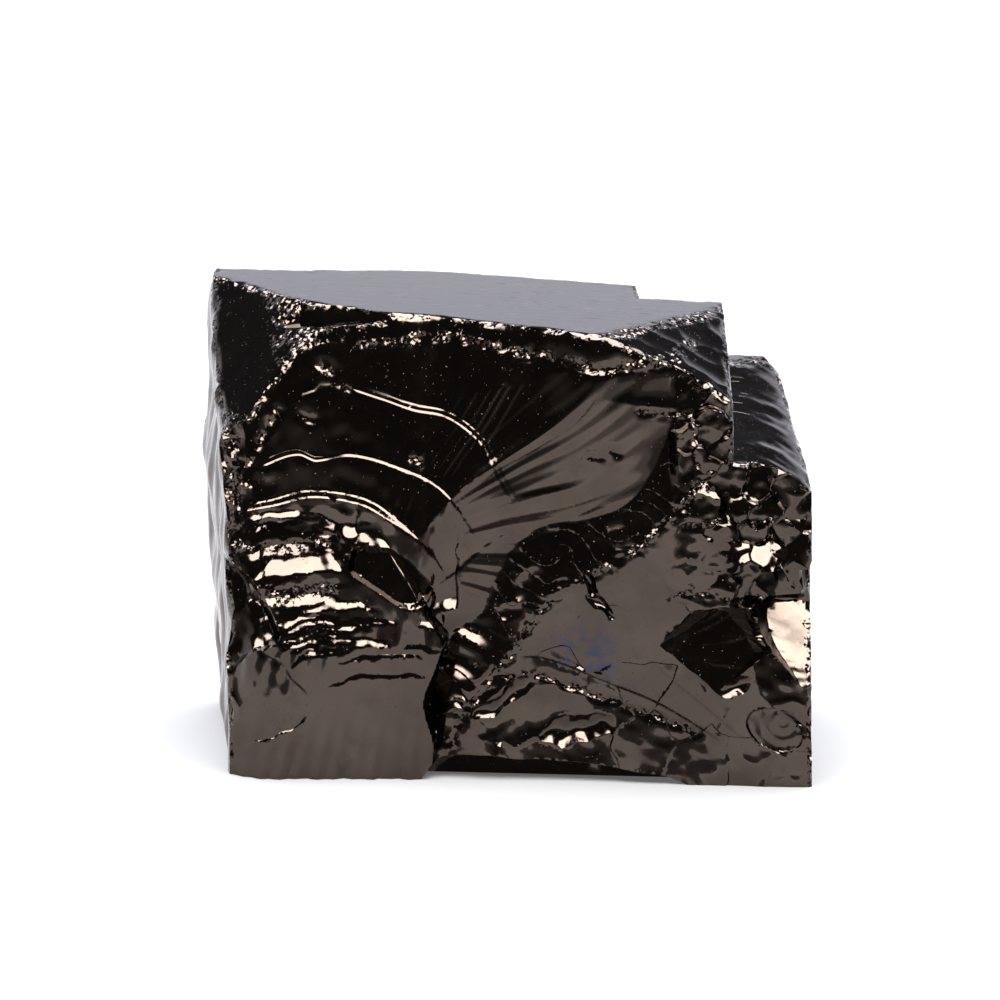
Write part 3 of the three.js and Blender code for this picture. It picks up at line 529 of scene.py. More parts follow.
def stepped_depth(x, z):
    """Depth gained over all the ledges below a point, large and small."""
    ledges = LEDGES + fine_ledges()
    wx, wz = warp(x, z, *LEDGE_WARP)
    stepped = sum(ledge_depth(wx, np.minimum(wz, LEDGE_TOP), ledge) for ledge in ledges)
    carried = sum(ledge_depth(CARRY_ACROSS, LEDGE_TOP + 0 * CARRY_ACROSS, ledge) for ledge in ledges)
    window = np.hanning(CARRY_EVEN)
    carried = np.convolve(carried, window / window.sum(), "same")
    share = smooth((wz - LEDGE_TOP + CARRY_BLEND) / CARRY_BLEND)
    stepped = stepped + share * (np.interp(wx, CARRY_ACROSS, carried) - stepped)
    return stepped * (1 - CARRY_LOSS * np.clip((z - LEDGE_TOP) / CARRY_HEIGHT, 0, 1))


def break_depth(x, z):
    """Large upper-left break: fan, leaning panels, ledges, the smooth lower-left face and its scars."""
    left_share = between(x, *PANEL_SPAN)
    nearness = BREAK_DEEP - PANEL_FORWARD * left_share
    base = broad_depth(x, z, nearness) + rib_depth(x, z) + ridge_depth(x, z)
    base = base + lower_left_depth(x, z, left_share, nearness)
    zone = (x > LEDGE_LEFT) & (x < LEDGE_RIGHT) & (z > LEDGE_FOOT)
    base[zone] += stepped_depth(x[zone], z[zone])
    wx, wz = warp(x, z, *SCAR_WARP)
    lens = smooth(scar(wx, wz, LENS_SCAR) / LENS_BLEND)
    d = base + lens * (LENS_DEEP + LENS_LEAN * (z - LENS_SCAR[1]))
    for side, wall, deep, foot, lean, turn in RECESSES:
        inside = curve(wz, side) - wx
        d = np.maximum(d, base + np.minimum(wall * inside, deep + lean * (wz - foot) + turn * inside))
    return d


def pocket_depth(x, z):
    """Hollow with a five-cornered outline, straight walls and fine arcs round one corner."""
    wx, wz = warp(x, z, *POCKET_WARP)
    depth = POCKET_DEEP + POCKET_LEAN * (wz - POCKET_MIDDLE)
    corner_x, corner_z = POCKET[0][0]
    reach, angle = np.hypot(x - corner_x, z - corner_z), np.arctan2(z - corner_z, x - ARC_CENTRE_X)
    for turn in POCKET_ARCS:
        depth = depth - ARC_HEIGHT * bell((angle - turn - ARC_BEND * reach) * reach, ARC_WIDTH)
    for ((x0, z0), steep), ((x1, z1), _) in zip(POCKET, POCKET[1:] + POCKET[:1]):
        inward = ((wx - x0) * (z1 - z0) - (wz - z0) * (x1 - x0)) / math.hypot(x1 - x0, z1 - z0)
        depth = np.minimum(depth, steep * inward)
    return depth


def ring_depth(x, z):
    """Shallow oval scar with rings."""
    wx, wz = warp(x, z, *POCKET_WARP)
    rings = RING_HEIGHT * np.sin(RING_WAVES * np.hypot(x - RING_CENTRE[0], z - RING_CENTRE[1]))
    floor = RING_DEEP + RING_LEAN * (wz - RING_SCAR[1]) + rings
    return np.minimum(RING_WALL * scar(wx, wz, RING_SCAR), floor)


def right_face_depth(x, z):
    """Steep bright face at the right, its streaks, the softer slope above it and the wall at its left."""
    streaks = SLOPE_STREAK * waves(0.2 * x, 0 * x, z + 0.25 * x, *SLOPE_WAVES)
    lower = SLOPE_LEAN * (z - SLOPE_FOOT) + streaks
    upper = SLOPE_LEAN * (SLOPE_HEAD - SLOPE_FOOT) + SHELF_LEAN * (z - SLOPE_HEAD)
    ground = np.where(z < SLOPE_HEAD, lower, upper + UPPER_LEAN * above_smooth(z - UPPER_START))
    steep = SIDE_STEEP - SIDE_SOFTER * between(z, *SIDE_SPAN)
    wx = x + SIDE_WANDER * between(z, *WANDER_SPAN) * waves(x, z, 0, *WANDER_WAVES)
    return np.minimum(ground, steep * (wx - curve(z, SLOPE_SIDE)))


def block_depth(x, z):
    """Lower-right block: its low relief, and the scars cut into it."""
    over = z - curve(x, LOW_LINE)
    relief = within(x, LOW_SPANS) * LOW_LEAN * np.maximum(z, 0) * (1 - ramp(over, LOW_BLEND))
    over = z - curve(x, FOLD_LINE)
    fold = FOLD_HEIGHT * within(x, FOLD_SPANS) * ramp(over, FOLD_BLEND)
    relief = relief - fold * np.exp(-np.maximum(over, 0) / FOLD_FALL)
    scars = np.maximum(pocket_depth(x, z), ring_depth(x, z))
    scars = deepest(*warp(x, z, *BLOCK_WARP), scars, BLOCK_SCARS)
    return relief, np.maximum(scars, right_face_depth(x, z))


def crushed_mask(x, z):
    """1 in the middle of the crushed bands, falling to 0 outside them."""
    mask = np.zeros(np.shape(x))
    for path, width, _ in CRUSHED:
        mask = np.maximum(mask, bell(near(x, z, path), width))
    return mask


def flat_facets(x, z, cells, depths, blend):
    """Depth of the facet whose centre is nearest, eased into the next one over a narrow band."""
    first, second = np.full(np.shape(x), 1e9), np.full(np.shape(x), 1e9)
    plane, other = np.zeros(np.shape(x)), np.zeros(np.shape(x))
    for (cx, cz, slope_x, slope_z), depth in zip(cells, depths):
        gap = (x - cx) ** 2 + (z - cz) ** 2
        here = depth + slope_x * (x - cx) + slope_z * (z - cz)
        nearer = gap < first
        other = np.where(nearer, plane, np.where(gap < second, here, other))
        second = np.where(nearer, first, np.minimum(gap, second))
        plane = np.where(nearer, here, plane)
        first = np.minimum(gap, first)
    share = smooth(0.5 + (second - first) / FACET_GAP / blend)
    return plane * share + other * (1 - share)


def bare_depth(x, z):
    """Depth of the front behind its datum without small facets: whole, riser, break, block relief, scars."""
    relief, scars = block_depth(x, z)
    slope = STEP_SLOPE + STEP_STEEPER * between(x, *STEEPER_SPAN)
    riser = deepest(x, z, slope * beyond(x, z, STEP_EDGE), RISER_SCARS)
    broken = break_depth(x, z)
    step = np.minimum(np.maximum(riser, relief), broken)
    return np.maximum(step, scars), riser, broken, relief, scars


def riser_marks(x, z, depth, share):
    """Hollow chips and slanted treads on the dark step."""
    chipped = 0.45 - chips(x, 0.5 * depth, z, RISER_SIZE, RISER_STRETCH)
    tread = (z + TREAD_SLANT * x) / TREAD + TREAD_WANDER * waves(x, z, 0, *TREAD_WAVES)
    lean = TREAD_LEAN - TREAD_LESS * between(x, *TREAD_SPAN)
    return share * (RISER_BITE * chipped + TREAD * lean * (tread - np.floor(tread) - 0.5))


def block_marks(x, z):
    """Broad flat facets of the block's face, with fainter ones over them."""
    wx, wz = warp(x, z, *BLOCK_FACET_WARP)
    broad = flat_facets(wx, wz, BLOCK_FACETS, [0.0] * len(BLOCK_FACETS), BLOCK_FACET_BLEND)
    return broad - facets(wx + FAINT_SHIFT, wz, *BLOCK_FAINT_FACETS)


def rough_depth(x, z):
    """Small flat facets of the rough upper-right corner, which stand on its bare depth."""
    wx, wz = warp(x, z, *ROUGH_WARP)
    centres = np.array(ROUGH_FACETS)[:, :2].T
    planes = flat_facets(wx, wz, ROUGH_FACETS, bare_depth(*centres)[0], ROUGH_BLEND)
    return planes - facets(wx, wz + FAINT_SHIFT, *ROUGH_FAINT_FACETS)


def crush(x, z, depth):
    """Break up the front along the crushed bands, in place."""
    for path, width, bite in CRUSHED:
        mask = bell(near(x, z, path), width)
        picked = mask > FAINT
        xs, zs, ds = x[picked], z[picked], depth[picked]
        coarse = 0.5 - chips(xs, ds, zs, COARSE_CRUSH, CRUSH_STRETCH)
        fine = 0.5 - chips(xs + 7, ds, zs, FINE_CRUSH, CRUSH_STRETCH)
        depth[picked] = ds + mask[picked] * bite * (coarse + 0.5 * fine)


def front_y(x, height):
    """The front face: y of its surface, with every mark on it."""
    z = height - FRONT_ZERO
    depth, riser, broken, relief, scars = bare_depth(x, z)
    on_riser = smooth(np.minimum(riser - np.maximum(relief, scars), broken - riser) / RISER_BLEND)
    depth = depth + riser_marks(x, z, depth, on_riser)
    on_block = smooth((relief + BLOCK_FACET_EDGE - depth) / BLOCK_FACET_EASE) * between(x, *BLOCK_FACET_SPAN)
    depth = depth + on_block * smooth((relief - scars) / BLOCK_SCAR_EASE) * block_marks(x, z)
    rough = between(x, *ROUGH_SIDE) * between(z, *ROUGH_FOOT)
    picked = rough > 0
    depth[picked] += rough[picked] * (rough_depth(x[picked], z[picked]) - depth[picked])
    ragged_foot = curve(x, FOOT_CHIP) + FOOT_RAGGED * waves(x, z, 0, *FOOT_WAVES)
    depth = np.maximum(depth, np.minimum(FOOT_SLOPE * (ragged_foot - z), FOOT_DEEP + FOOT_LEAN * z))
    crush(x, z, depth)
    return FRONT_Y + FRONT_SKEW * x + depth


def left_x(y, z):
    """The left side: x of its surface, with its upright ribs."""
    back = np.clip((y - LEFT_START) / LEFT_DEPTH, 0, 1)
    ribs = sum(height * np.sin(turns * y + slant * z) for height, turns, slant in LEFT_RIBS)
    swell = LEFT_SWELL * waves(y, z, 0 * y, *LEFT_WAVES) * between(y, *LEFT_SWELL_SPAN)
    return LEFT_FRONT + (curve(z, LEFT_BACK) - LEFT_FRONT) * back + ribs + swell


def make_map(across, upward, step, surface):
    """Table of a surface's height at even steps: its origin, step and values."""
    u, v = np.meshgrid(np.arange(*across, step), np.arange(*upward, step), indexing="ij")
    return across[0], upward[0], step, surface(u, v)


def look_up(table, u, v):
    """Height read from a table, blended between its four nearest values."""
    u0, v0, step, g = table
    a = np.clip((u - u0) / step, 0, g.shape[0] - 1.001)
    b = np.clip((v - v0) / step, 0, g.shape[1] - 1.001)
    i, j = a.astype(int), b.astype(int)
    s, t = a - i, b - j
    low = g[i, j] * (1 - s) + g[i + 1, j] * s
    return low * (1 - t) + (g[i, j + 1] * (1 - s) + g[i + 1, j + 1] * s) * t


FRONT_MAP = make_map(MAP_ACROSS, MAP_UP, MAP_STEP, front_y)
LEFT_MAP = make_map(MAP_THROUGH, MAP_UP, LEFT_MAP_STEP, left_x)


def shoulder_z(x, y):
    """Height of the lower shoulder, rounded off toward the right."""
    return curve(y, SHOULDER_Z) - SHOULDER_ROUND * np.maximum(x - SHOULDER_ROUND_X, 0) ** 2


def ragged_shoulder(x, y, z):
    """How far the shoulder is broken down by large and patchy small chips."""
    ragged = np.zeros(np.shape(x))
    rough = between(x, *SHOULDER_SPANS[0]) * between(z, *SHOULDER_SPANS[1])
    picked = rough > SHOULDER_FAINT
    xs, ys, zs = x[picked], y[picked], z[picked]
    patchy = smooth(0.5 + waves(xs, ys, zs, *SHOULDER_WAVES))
    coarse = 0.45 - chips(xs, ys, zs, SHOULDER_CHIP, SHOULDER_STRETCH)
    fine = 0.45 - chips(xs + 3, ys, zs, SHOULDER_FINE, SHOULDER_FINE_STRETCH)
    ragged[picked] = rough[picked] * (SHOULDER_BITE * coarse + SHOULDER_FINE_BITE * patchy * fine)
    return ragged


def beyond_plane(place, point, normal):
    """Distance in front of a plane."""
    return sum(n * (v - p) for n, v, p in zip(normal, place, point))


def faces(x, y, z):
    """Signed distance, roughly, beyond each face of the block."""
    bite = CHIP_BITE * (chips(x, y, z, CHIP_SIZE) - 0.4)
    front = look_up(FRONT_MAP, x, z) - y
    left = look_up(LEFT_MAP, y, z) - x
    close = bell(front - left, CORNER_WIDTH)
    picked = close > CORNER_FAINT
    chipped = 0.5 - chips(x[picked], y[picked], z[picked], CORNER_CHIP, CORNER_STRETCH)
    front[picked] += CORNER_BITE * close[picked] * chipped
    right = x - curve(z, RIGHT_X) + RIGHT_BACK_FALL * np.maximum(y - RIGHT_BACK, 0)
    right = right - RIGHT_BITE * bite * between(y, RIGHT_BACK, 0)
    back = y - curve(x, BACK_Y) + BACK_MARGIN - bite
    top = z - (TOP_Z + TOP_FALL * x)
    corner = beyond_plane((x, y, z), CORNER_POINT, CORNER_NORMAL)
    corner = corner + CORNER_HOLLOW * bell(z - CORNER_HOLLOW_Z, CORNER_HOLLOW_SIZE)
    rim = beyond_plane((x, y, z), RIM_POINT, RIM_NORMAL)
    ahead = LIP_AHEAD * (curve(x, LIP_EDGE) + LIP_LEAN * (z - LIP_RISE) - y)
    lip = np.minimum(z - (LIP_Z + LIP_FALL * np.minimum(x - LIP_DISH, 0)), LIP_STEEP * ahead)
    run = FACET_DIRECTION[0] * (x - FACET_POINT[0]) + FACET_DIRECTION[1] * (y - FACET_POINT[1])
    facet = FACET_COSINE * (z - (FACET_POINT[2] - FACET_FALL * run))
    close = facet > -FACET_REACH
    facet[close] += FACET_BITE * (0.4 - chips(x[close], y[close], z[close], FACET_CHIP))
    shoulder = np.minimum(x - SHOULDER_X, z - shoulder_z(x, y) + ragged_shoulder(x, y, z))
    notch = np.minimum(np.minimum(x - NOTCH_X, y - NOTCH_Y), z - NOTCH_Z)
    return [front, left, right, back, top, corner, rim, lip, facet, shoulder, notch]


def nearest_faces(x, y, z):
    """Distance beyond the face that bounds the stone here, and beyond the next one."""
    stack = np.sort(np.stack(faces(x, y, z)), axis=0)
    return stack[-1], stack[-2]


def outside(x, y, z):
    """Negative inside the stone, positive outside, with chips along the edges where faces meet."""
    first, second = nearest_faces(x, y, z)
    wear = bell(first - second, EDGE_WIDTH)
    picked = wear > FAINT
    xs, ys, zs = x[picked], y[picked], z[picked]
    chip = 0.75 - chips(xs, ys, zs, EDGE_CHIP)
    chip = chip + 0.5 * (0.6 - chips(xs + 5, ys, zs, EDGE_FINE))
    worn = 1 - EDGE_WORN + EDGE_WORN * smooth(0.5 + 0.9 * waves(xs, ys, zs, *EDGE_WAVES))
    first[picked] += EDGE_BITE * worn * wear[picked] * chip
    return np.maximum(first, -z)


def slope_of(p):
    """Gradient of the outside value at points."""
    here = outside(*p)
    return np.stack([
        outside(p[0] + PROBE, p[1], p[2]) - here,
        outside(p[0], p[1] + PROBE, p[2]) - here,
        outside(p[0], p[1], p[2] + PROBE) - here,
    ]) / PROBE


def surface_points(targets):
    """First point where a ray from the heart of the block leaves the stone."""
    heart = np.clip(targets, HEART_LOW, HEART_HIGH)
    span = targets - heart
    low = np.full(len(targets), FIRST_STEP)
    high = np.full(len(targets), REACH)
    found = np.zeros(len(targets), bool)
    for t in np.linspace(FIRST_STEP, REACH, MARCH_STEPS):
        open_rays = np.flatnonzero(~found)
        if not len(open_rays):
            break
        out = outside(*(heart[open_rays] + span[open_rays] * t).T) > 0
        high[open_rays[out]] = t
        found[open_rays[out]] = True
        low[open_rays[~out]] = t
    for _ in range(HALVINGS):
        middle = (low + high) / 2
        out = outside(*(heart + span * middle[:, None]).T) > 0
        high = np.where(out, middle, high)
        low = np.where(out, low, middle)
    return heart + span * ((low + high) / 2)[:, None]


def sharpen(points, triangles, limit):
    """Draw each vertex to the point its neighbouring facets meet in, so that edges come out crisp."""
    centre = points[triangles].mean(1).T
    slope = slope_of(centre)
    for _ in range(2):
        centre = centre - slope * outside(*centre) / np.maximum((slope ** 2).sum(0), 0.5)
        slope = slope_of(centre)
    n = slope / np.linalg.norm(slope, axis=0)
    offset = (n * centre).sum(0)
    count = len(points)
    left = np.tile(np.eye(3) * CREASE_PULL, (count, 1, 1))
    right = points * CREASE_PULL
    for corner in range(3):
        ids = triangles[:, corner]
        for i in range(3):
            right[:, i] += np.bincount(ids, n[i] * offset, count)
            for j in range(3):
                left[:, i, j] += np.bincount(ids, n[i] * n[j], count)
    move = np.linalg.solve(left, right[:, :, None])[:, :, 0] - points
    length = np.linalg.norm(move, axis=1)
    return points + move * np.minimum(1, limit / np.maximum(length, 1e-9))[:, None]


def box_grid():
    """Targets on a box: an even grid with a finer one on the front, as quads and as border triangles."""
    ids, targets, fine = {}, [], []

    def vertex(i, j, k):
        key = (i, j, k)
        if key not in ids:
            ids[key] = len(targets)
            targets.append((WIDTH * (i / (ACROSS * FINER) - 0.5), DEPTH * (j / (THROUGH * FINER) - 0.5),
                            HEIGHT * k / (UPWARD * FINER)))
            fine.append(j == 0)
        return ids[key]

    quads, loose = [], []
    w, d, h = ACROSS * FINER, THROUGH * FINER, UPWARD * FINER

    def sheet(place, n, m, flip):
        """One side: place(a, b) gives grid steps, and row b = 0 is the one that may touch the front."""
        for a in range(0, n, FINER):
            for b in range(0, m, FINER):
                c = [place(a, b), place(a + FINER, b), place(a + FINER, b + FINER), place(a, b + FINER)]
                if c[0][1] == 0 and c[1][1] == 0:
                    low = [vertex(*place(a + s, b)) for s in range(FINER + 1)]
                    p, q = vertex(*c[3]), vertex(*c[2])
                    half = (FINER + 1) // 2
                    tris = [(low[s], low[s + 1], p) for s in range(half)]
                    tris += [(low[half], q, p)]
                    tris += [(low[s], low[s + 1], q) for s in range(half, FINER)]
                    loose.extend(t[::-1] if flip else t for t in tris)
                else:
                    quad = [vertex(*v) for v in c]
                    quads.append(quad[::-1] if flip else quad)

    for a in range(w):
        for b in range(h):
            corners = ((a, b), (a + 1, b), (a + 1, b + 1), (a, b + 1))
            quads.append([vertex(i, 0, k) for i, k in corners])
    sheet(lambda a, b: (a, b, h), w, d, False)
    sheet(lambda a, b: (a, b, 0), w, d, True)
    sheet(lambda a, b: (w, b, a), h, d, True)
    sheet(lambda a, b: (0, b, a), h, d, False)
    sheet(lambda a, b: (a, d, b), w, h, True)
    return np.array(targets), np.array(quads), np.array(loose), np.array(fine)


def split_quads(points, quads):
    """Split each four-cornered cell along the diagonal that lies closer to the surface."""
    a, b, c, d = (points[quads[:, i]] for i in range(4))
    first = np.abs(outside(*((a + c) / 2).T)) < np.abs(outside(*((b + d) / 2).T))
    one = np.where(first[:, None], quads[:, [0, 1, 2]], quads[:, [0, 1, 3]])
    two = np.where(first[:, None], quads[:, [0, 2, 3]], quads[:, [1, 2, 3]])
    return np.concatenate([one, two])


def build_stone():
    """The stone's mesh, with how crushed each vertex is as an attribute."""
    targets, quads, loose, fine = box_grid()
    cell = WIDTH / ACROSS
    limit = CREASE_REACH * np.where(fine, cell / FINER, cell)
    points = surface_points(targets)
    triangles = np.concatenate([split_quads(points, quads), loose])
    for _ in range(CREASE_PASSES):
        points = sharpen(points, triangles, limit)
        triangles = np.concatenate([split_quads(points, quads), loose])
    points = np.clip(points, [-WIDTH / 2, -DEPTH / 2, 0], [WIDTH / 2, DEPTH / 2, HEIGHT])
    points[points[:, 2] < GROUND_SNAP, 2] = 0
    mesh = bpy.data.meshes.new("shungite_block")
    mesh.from_pydata((points / MM).tolist(), [], triangles.tolist())
    mesh.validate()
    x, y, z = points.T
    crushed = crushed_mask(x, z - FRONT_ZERO) * between(y, *CRUSHED_SPAN)
    first, second = nearest_faces(x, y, z)
    crushed = np.maximum(crushed, bell(first - second, CRUSHED_EDGE))
    mesh.attributes.new("crushed", "FLOAT", "POINT").data.foreach_set("value", crushed.astype(np.float32))
    mesh.shade_smooth()
    mesh.set_sharp_from_angle(angle=math.radians(SHARP_ANGLE))
    block = bpy.data.objects.new("shungite_block", mesh)
    bpy.context.collection.objects.link(block)
    return block


# ---------------------------------------------------------------- material
CARBON, CARBON_PALE = (0.071, 0.056, 0.046, 1), (0.082, 0.065, 0.052, 1)
# The scratch colour and its share paint a dark reflection into the top's scratch marks; their relief is a
# real bump.
SPECK, WORN, SCRATCH_PAINTED_DARK = (0.06, 0.049, 0.045, 1), (0.053, 0.042, 0.037, 1), (0.03, 0.028, 0.03, 1)
TARNISH, TARNISH_AT, TARNISH_REACH = (0.04, 0.045, 0.085, 1), (7.6, -15.9, 10.6), (1.2, 3.6)
SPECK_SHARE, WORN_SHARE, TARNISH_SHARE, SCRATCH_PAINTED_DARK_SHARE = 0.35, 0.45, 0.7, 0.5
# Patchy patterns: scale, detail and roughness of the noise, and the levels between which the patches come in.
PALER, SPECKS = ((0.22, 2, 0.5), (0.4, 0.65)), ((3.2, 2, 0.5), (0.66, 0.74))
WORN_PLACES, TARNISHED = ((0.55, 5, 0.65), (0.5, 0.72)), ((0.8, 2, 0.5), (0.45, 0.62))
FILM, GLINTING = ((0.6, 4, 0.6), (0.35, 0.7)), ((0.9, 2, 0.5), (0.42, 0.56))
PITTED, SCRATCHED_AND_PAINTED_DARK = ((4.5, 1, 0.5), (0.735, 0.79)), ((1.0, 1, 0.5), (0.67, 0.7))
RIPPLED, GRAINY, GLINT_CELLS = (1.1, 2, 0.5), (9, 3, 0.6), 4.5
# How much these patterns are drawn out along each axis: a smaller number is longer.
RIPPLE_LONG, SCRATCH_AND_PAINTED_DARK_LONG = (1, 1, 0.25), (0.2, 1.6, 1)
# Levels between which a vertex counts as crushed, and the surface as flat top.
CRUSHED_LEVELS, FLAT_LEVELS = (0.3, 0.9), (0.93, 0.99)
# Roughness of the clean stone, of the film on it, and what crushing adds.
GLOSSY, DULLER, CRUSHED_ROUGHER = 0.06, 0.14, 0.05
# Height in metres and strength of each fine relief.
RIPPLE, GRAIN, PITS, SCRATCHES = (0.0001, 0.1), (0.00001, 0.04), (0.00003, 0.5), (0.00002, 0.8)


class Nodes:
    """Short names for building a node tree."""

    def __init__(self, tree):
        self.tree = tree
        tree.nodes.clear()

    def add(self, kind, inputs=None, **settings):
        node = self.tree.nodes.new("ShaderNode" + kind)
        for key, value in settings.items():
            setattr(node, key, value)
        for key, value in (inputs or {}).items():
            if isinstance(value, bpy.types.NodeSocket):
                self.tree.links.new(value, node.inputs[key])
            else:
                node.inputs[key].default_value = value
        return node

    def math(self, kind, a, b=0.0):
        return self.add("Math", {0: a, 1: b}, operation=kind).outputs[0]

    def times(self, a, b):
        return self.math("MULTIPLY", a, b)

    def span(self, value, low, high, to_low=0.0, to_high=1.0):
        inputs = {0: value, 1: low, 2: high, 3: to_low, 4: to_high}
        return self.add("MapRange", inputs, interpolation_type="SMOOTHSTEP").outputs[0]

    def noise(self, vector, scale, detail, rough):
        inputs = {"Vector": vector, "Scale": scale, "Detail": detail, "Roughness": rough}
        return self.add("TexNoise", inputs).outputs["Fac"]

    def patches(self, vector, pattern, to_low=0.0, to_high=1.0):
        return self.span(self.noise(vector, *pattern[0]), *pattern[1], to_low, to_high)

    def place(self, vector, scale):
        return self.add("Mapping", {"Vector": vector, "Scale": scale}).outputs[0]

    def mix(self, fac, a, b):
        return self.add("Mix", {0: fac, 6: a, 7: b}, data_type="RGBA").outputs[2]

    def vector(self, kind, inputs):
        return self.add("VectorMath", inputs, operation=kind).outputs[0]

    def tilt(self, colour, amount):
        """Surface normal with each cell of a pattern turned its own way."""
        centred = self.vector("SUBTRACT", {0: colour, 1: (0.5, 0.5, 0.5)})
        push = self.vector("SCALE", {0: centred, 3: amount})
        normal = self.add("NewGeometry").outputs["Normal"]
        return self.vector("NORMALIZE", {0: self.vector("ADD", {0: normal, 1: push})})

    def bump(self, height, distance, strength, normal):
        inputs = {"Height": height, "Distance": distance, "Strength": strength, "Normal": normal}
        return self.add("Bump", inputs).outputs[0]


def named_material(name):
    """A new material and its empty node tree."""
    material = bpy.data.materials.new(name)
    material.use_nodes = True
    return material, Nodes(material.node_tree)


def stone_colour(n, mm, scratches_and_painted_dark):
    """Polished carbon: warm grey, with paler patches, specks, worn places, a blue tarnish, and scratch marks
    painted darker as a dark reflection.
    """
    tone = n.mix(n.patches(mm, PALER), CARBON, CARBON_PALE)
    tone = n.mix(n.times(n.patches(mm, SPECKS), SPECK_SHARE), tone, SPECK)
    tone = n.mix(n.times(n.patches(mm, WORN_PLACES), WORN_SHARE), tone, WORN)
    away = n.add("VectorMath", {0: mm, 1: TARNISH_AT}, operation="DISTANCE").outputs["Value"]
    tarnish = n.times(n.span(away, *TARNISH_REACH, 1, 0), n.patches(mm, TARNISHED))
    tone = n.mix(n.times(tarnish, TARNISH_SHARE), tone, TARNISH)
    # Painted dark reflection: the colour is darkened in the scratch marks on the flat top.
    return n.mix(n.times(scratches_and_painted_dark, SCRATCH_PAINTED_DARK_SHARE), tone, SCRATCH_PAINTED_DARK)


def stone_relief(n, mm, crushed, flat_top, scratches_and_painted_dark):
    """Surface normal: glinting cells in the crushed places, then ripples, grain, pits and scratch marks."""
    glint = n.add("TexVoronoi", {"Vector": mm, "Scale": GLINT_CELLS}, feature="F1").outputs["Color"]
    pits = n.times(n.patches(mm, PITTED), n.math("SUBTRACT", 1, flat_top))
    normal = n.tilt(glint, crushed)
    normal = n.bump(n.noise(n.place(mm, RIPPLE_LONG), *RIPPLED), *RIPPLE, normal)
    normal = n.bump(n.noise(mm, *GRAINY), *GRAIN, normal)
    normal = n.bump(pits, *PITS, normal)
    return n.bump(scratches_and_painted_dark, *SCRATCHES, normal)


def stone_material():
    """Glassy black carbon: nearly mirror-like, dulled by a fine film and in the crushed places."""
    material, n = named_material("glassy_shungite")
    mm = n.place(n.add("TexCoord").outputs["Object"], (MM, MM, MM))
    crushed = n.span(n.add("Attribute", attribute_name="crushed").outputs["Fac"], *CRUSHED_LEVELS)
    crushed = n.times(crushed, n.patches(mm, GLINTING))
    up = n.add("SeparateXYZ", {0: n.add("NewGeometry").outputs["Normal"]}).outputs[2]
    flat_top = n.span(up, *FLAT_LEVELS)
    # Scratch marks on the flat top: real bumps, and also the places where a dark reflection is painted into
    # the colour.
    scratches_and_painted_dark = n.times(n.patches(n.place(mm, SCRATCH_AND_PAINTED_DARK_LONG), SCRATCHED_AND_PAINTED_DARK), flat_top)
    tone = stone_colour(n, mm, scratches_and_painted_dark)
    film = n.patches(mm, FILM, GLOSSY, DULLER)
    rough = n.math("ADD", film, n.times(crushed, CRUSHED_ROUGHER))
    normal = stone_relief(n, mm, crushed, flat_top, scratches_and_painted_dark)
    inputs = {"Base Color": tone, "Roughness": rough, "Normal": normal, "Metallic": 1.0}
    shader = n.add("BsdfPrincipled", inputs)
    n.add("OutputMaterial", {0: shader.outputs[0]})
    return material


# ---------------------------------------------------------------- studio
# Sky: heights are in degrees, and sideways is the share of a direction that points left or right.
SOFTBOX, SOFTBOX_HEIGHT, SOFTBOX_SIDE = 16, (42, 52), (0.4, 0.6)
ROOM_LOW, ROOM_HIGH, ROOM_HEIGHT = 0.22, 0.05, (2, 14)
BACKDROP_LOW, BACKDROP_HIGH, BACKDROP_HEIGHT, BACKDROP_TINT = 0.74, 0.08, (14, 24), (0.93, 0.94, 1.07, 1)
BACK_SPAN = (-0.15, 0.35)
# Floor, in metres toward the back from the stone: where its light and shade change, and between which levels.
FLOOR_SIZE, WHITE = 8, (1, 1, 1, 1)
FAR_LIGHT, NEAR_LIGHT = (-0.36, -0.24, 0.0, 0.36), (-0.2, -0.09, 1.0, 0.33)
FAR_SHADE, NEAR_SHADE, SHADE_SPAN = (0.1, 0.1, 0.1, 1), (0.2, 0.2, 0.2, 1), (-0.4, -0.12)
# Camera: what it looks at (mm), how far away it stands (m), how high (degrees), sensor and lens (mm).
TARGET, AWAY, RISE, SENSOR, LENS, CLIP = (0.3, 0, 20.58), 0.42, 11, 36, 177.6, (0.01, 20)


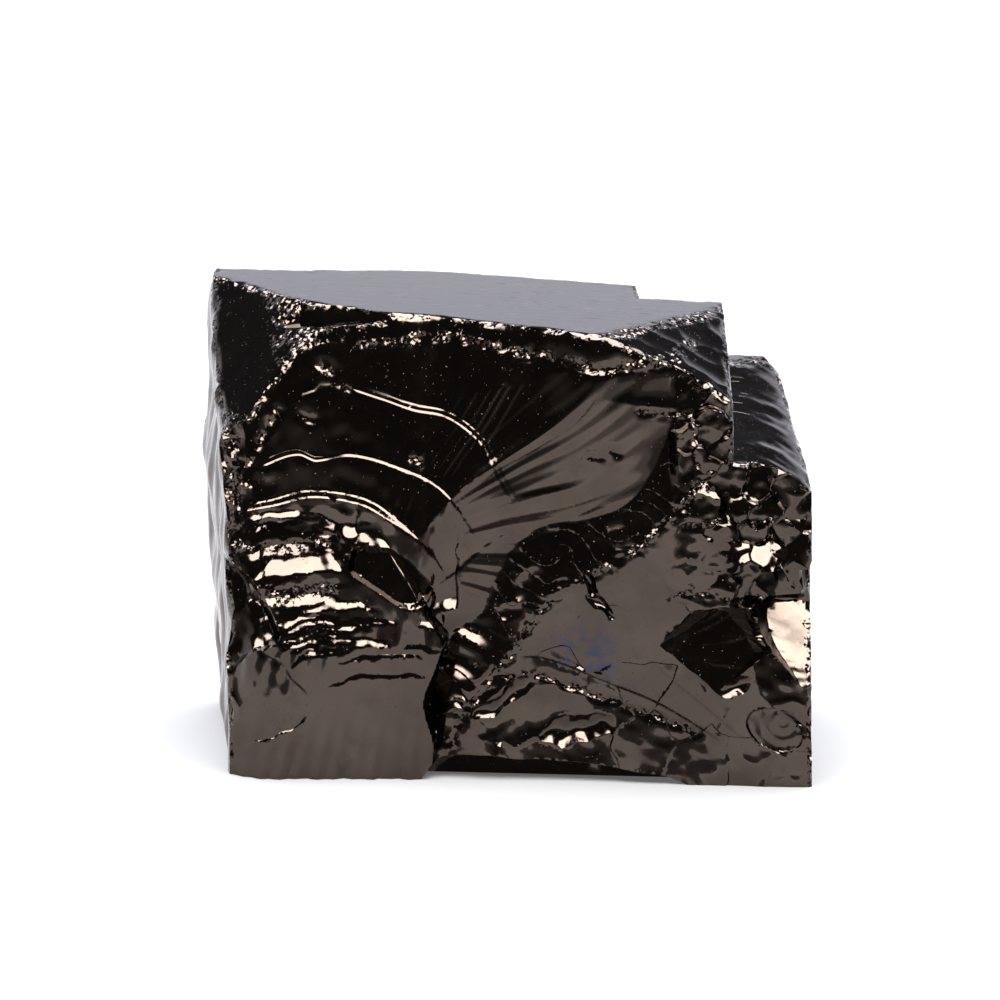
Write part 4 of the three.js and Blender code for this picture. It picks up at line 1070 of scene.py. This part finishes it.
def sky():
    """Soft light above a dark room, with a pale backdrop low behind the stone."""
    world = bpy.data.worlds.new("studio")
    bpy.context.scene.world = world
    world.use_nodes = True
    n = Nodes(world.node_tree)
    direction = n.add("SeparateXYZ", {0: n.add("TexCoord").outputs["Generated"]}).outputs
    height = n.times(n.math("ARCSINE", direction[2]), 180 / math.pi)
    sideways = n.math("ABSOLUTE", direction[0])
    over = n.span(height, *SOFTBOX_HEIGHT, 0, SOFTBOX)
    over = n.times(over, n.span(sideways, *SOFTBOX_SIDE, 1, 0))
    room = n.math("ADD", n.span(height, *ROOM_HEIGHT, ROOM_LOW, ROOM_HIGH), over)
    backdrop = n.math("ADD", n.span(height, *BACKDROP_HEIGHT, BACKDROP_LOW, BACKDROP_HIGH), over)
    behind = n.span(direction[1], *BACK_SPAN)
    level = n.add("Mix", {0: behind, 2: room, 3: backdrop}, data_type="FLOAT").outputs[0]
    light = n.add("Background", {"Color": n.mix(behind, WHITE, BACKDROP_TINT), "Strength": level})
    n.add("OutputWorld", {0: light.outputs[0]})


def pale_floor():
    """Plain floor, lit a little more in the distance that the fan reflects."""
    bpy.ops.mesh.primitive_plane_add(size=FLOOR_SIZE)
    floor = bpy.context.object
    floor.name = "floor"
    paint, n = named_material("pale_floor")
    ahead = n.add("SeparateXYZ", {0: n.add("TexCoord").outputs["Object"]}).outputs[1]
    far_light = n.times(n.span(ahead, *FAR_LIGHT), n.span(ahead, *NEAR_LIGHT))
    glow = n.add("Emission", {"Color": WHITE, "Strength": far_light})
    matte = n.add("BsdfDiffuse", {"Color": n.mix(n.span(ahead, *SHADE_SPAN), FAR_SHADE, NEAR_SHADE)})
    both = n.add("AddShader", {0: glow.outputs[0], 1: matte.outputs[0]})
    n.add("OutputMaterial", {0: both.outputs[0]})
    floor.data.materials.append(paint)


def photo_camera():
    """Long lens, a little above level, straight in front."""
    data = bpy.data.cameras.new("camera")
    camera = bpy.data.objects.new("camera", data)
    bpy.context.scene.collection.objects.link(camera)
    rise = math.radians(RISE)
    camera.location = Vector(TARGET) / MM + AWAY * Vector((0, -math.cos(rise), math.sin(rise)))
    camera.rotation_euler = (math.radians(90 - RISE), 0, 0)
    data.sensor_width, data.lens = SENSOR, LENS
    data.clip_start, data.clip_end = CLIP
    bpy.context.scene.camera = camera


def studio():
    settings = bpy.context.scene.view_settings
    settings.view_transform = "Standard"
    settings.look = "None"
    sky()
    pale_floor()
    photo_camera()


block = build_stone()
block.data.materials.append(stone_material())
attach(block, "root")
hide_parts("stone")
studio()
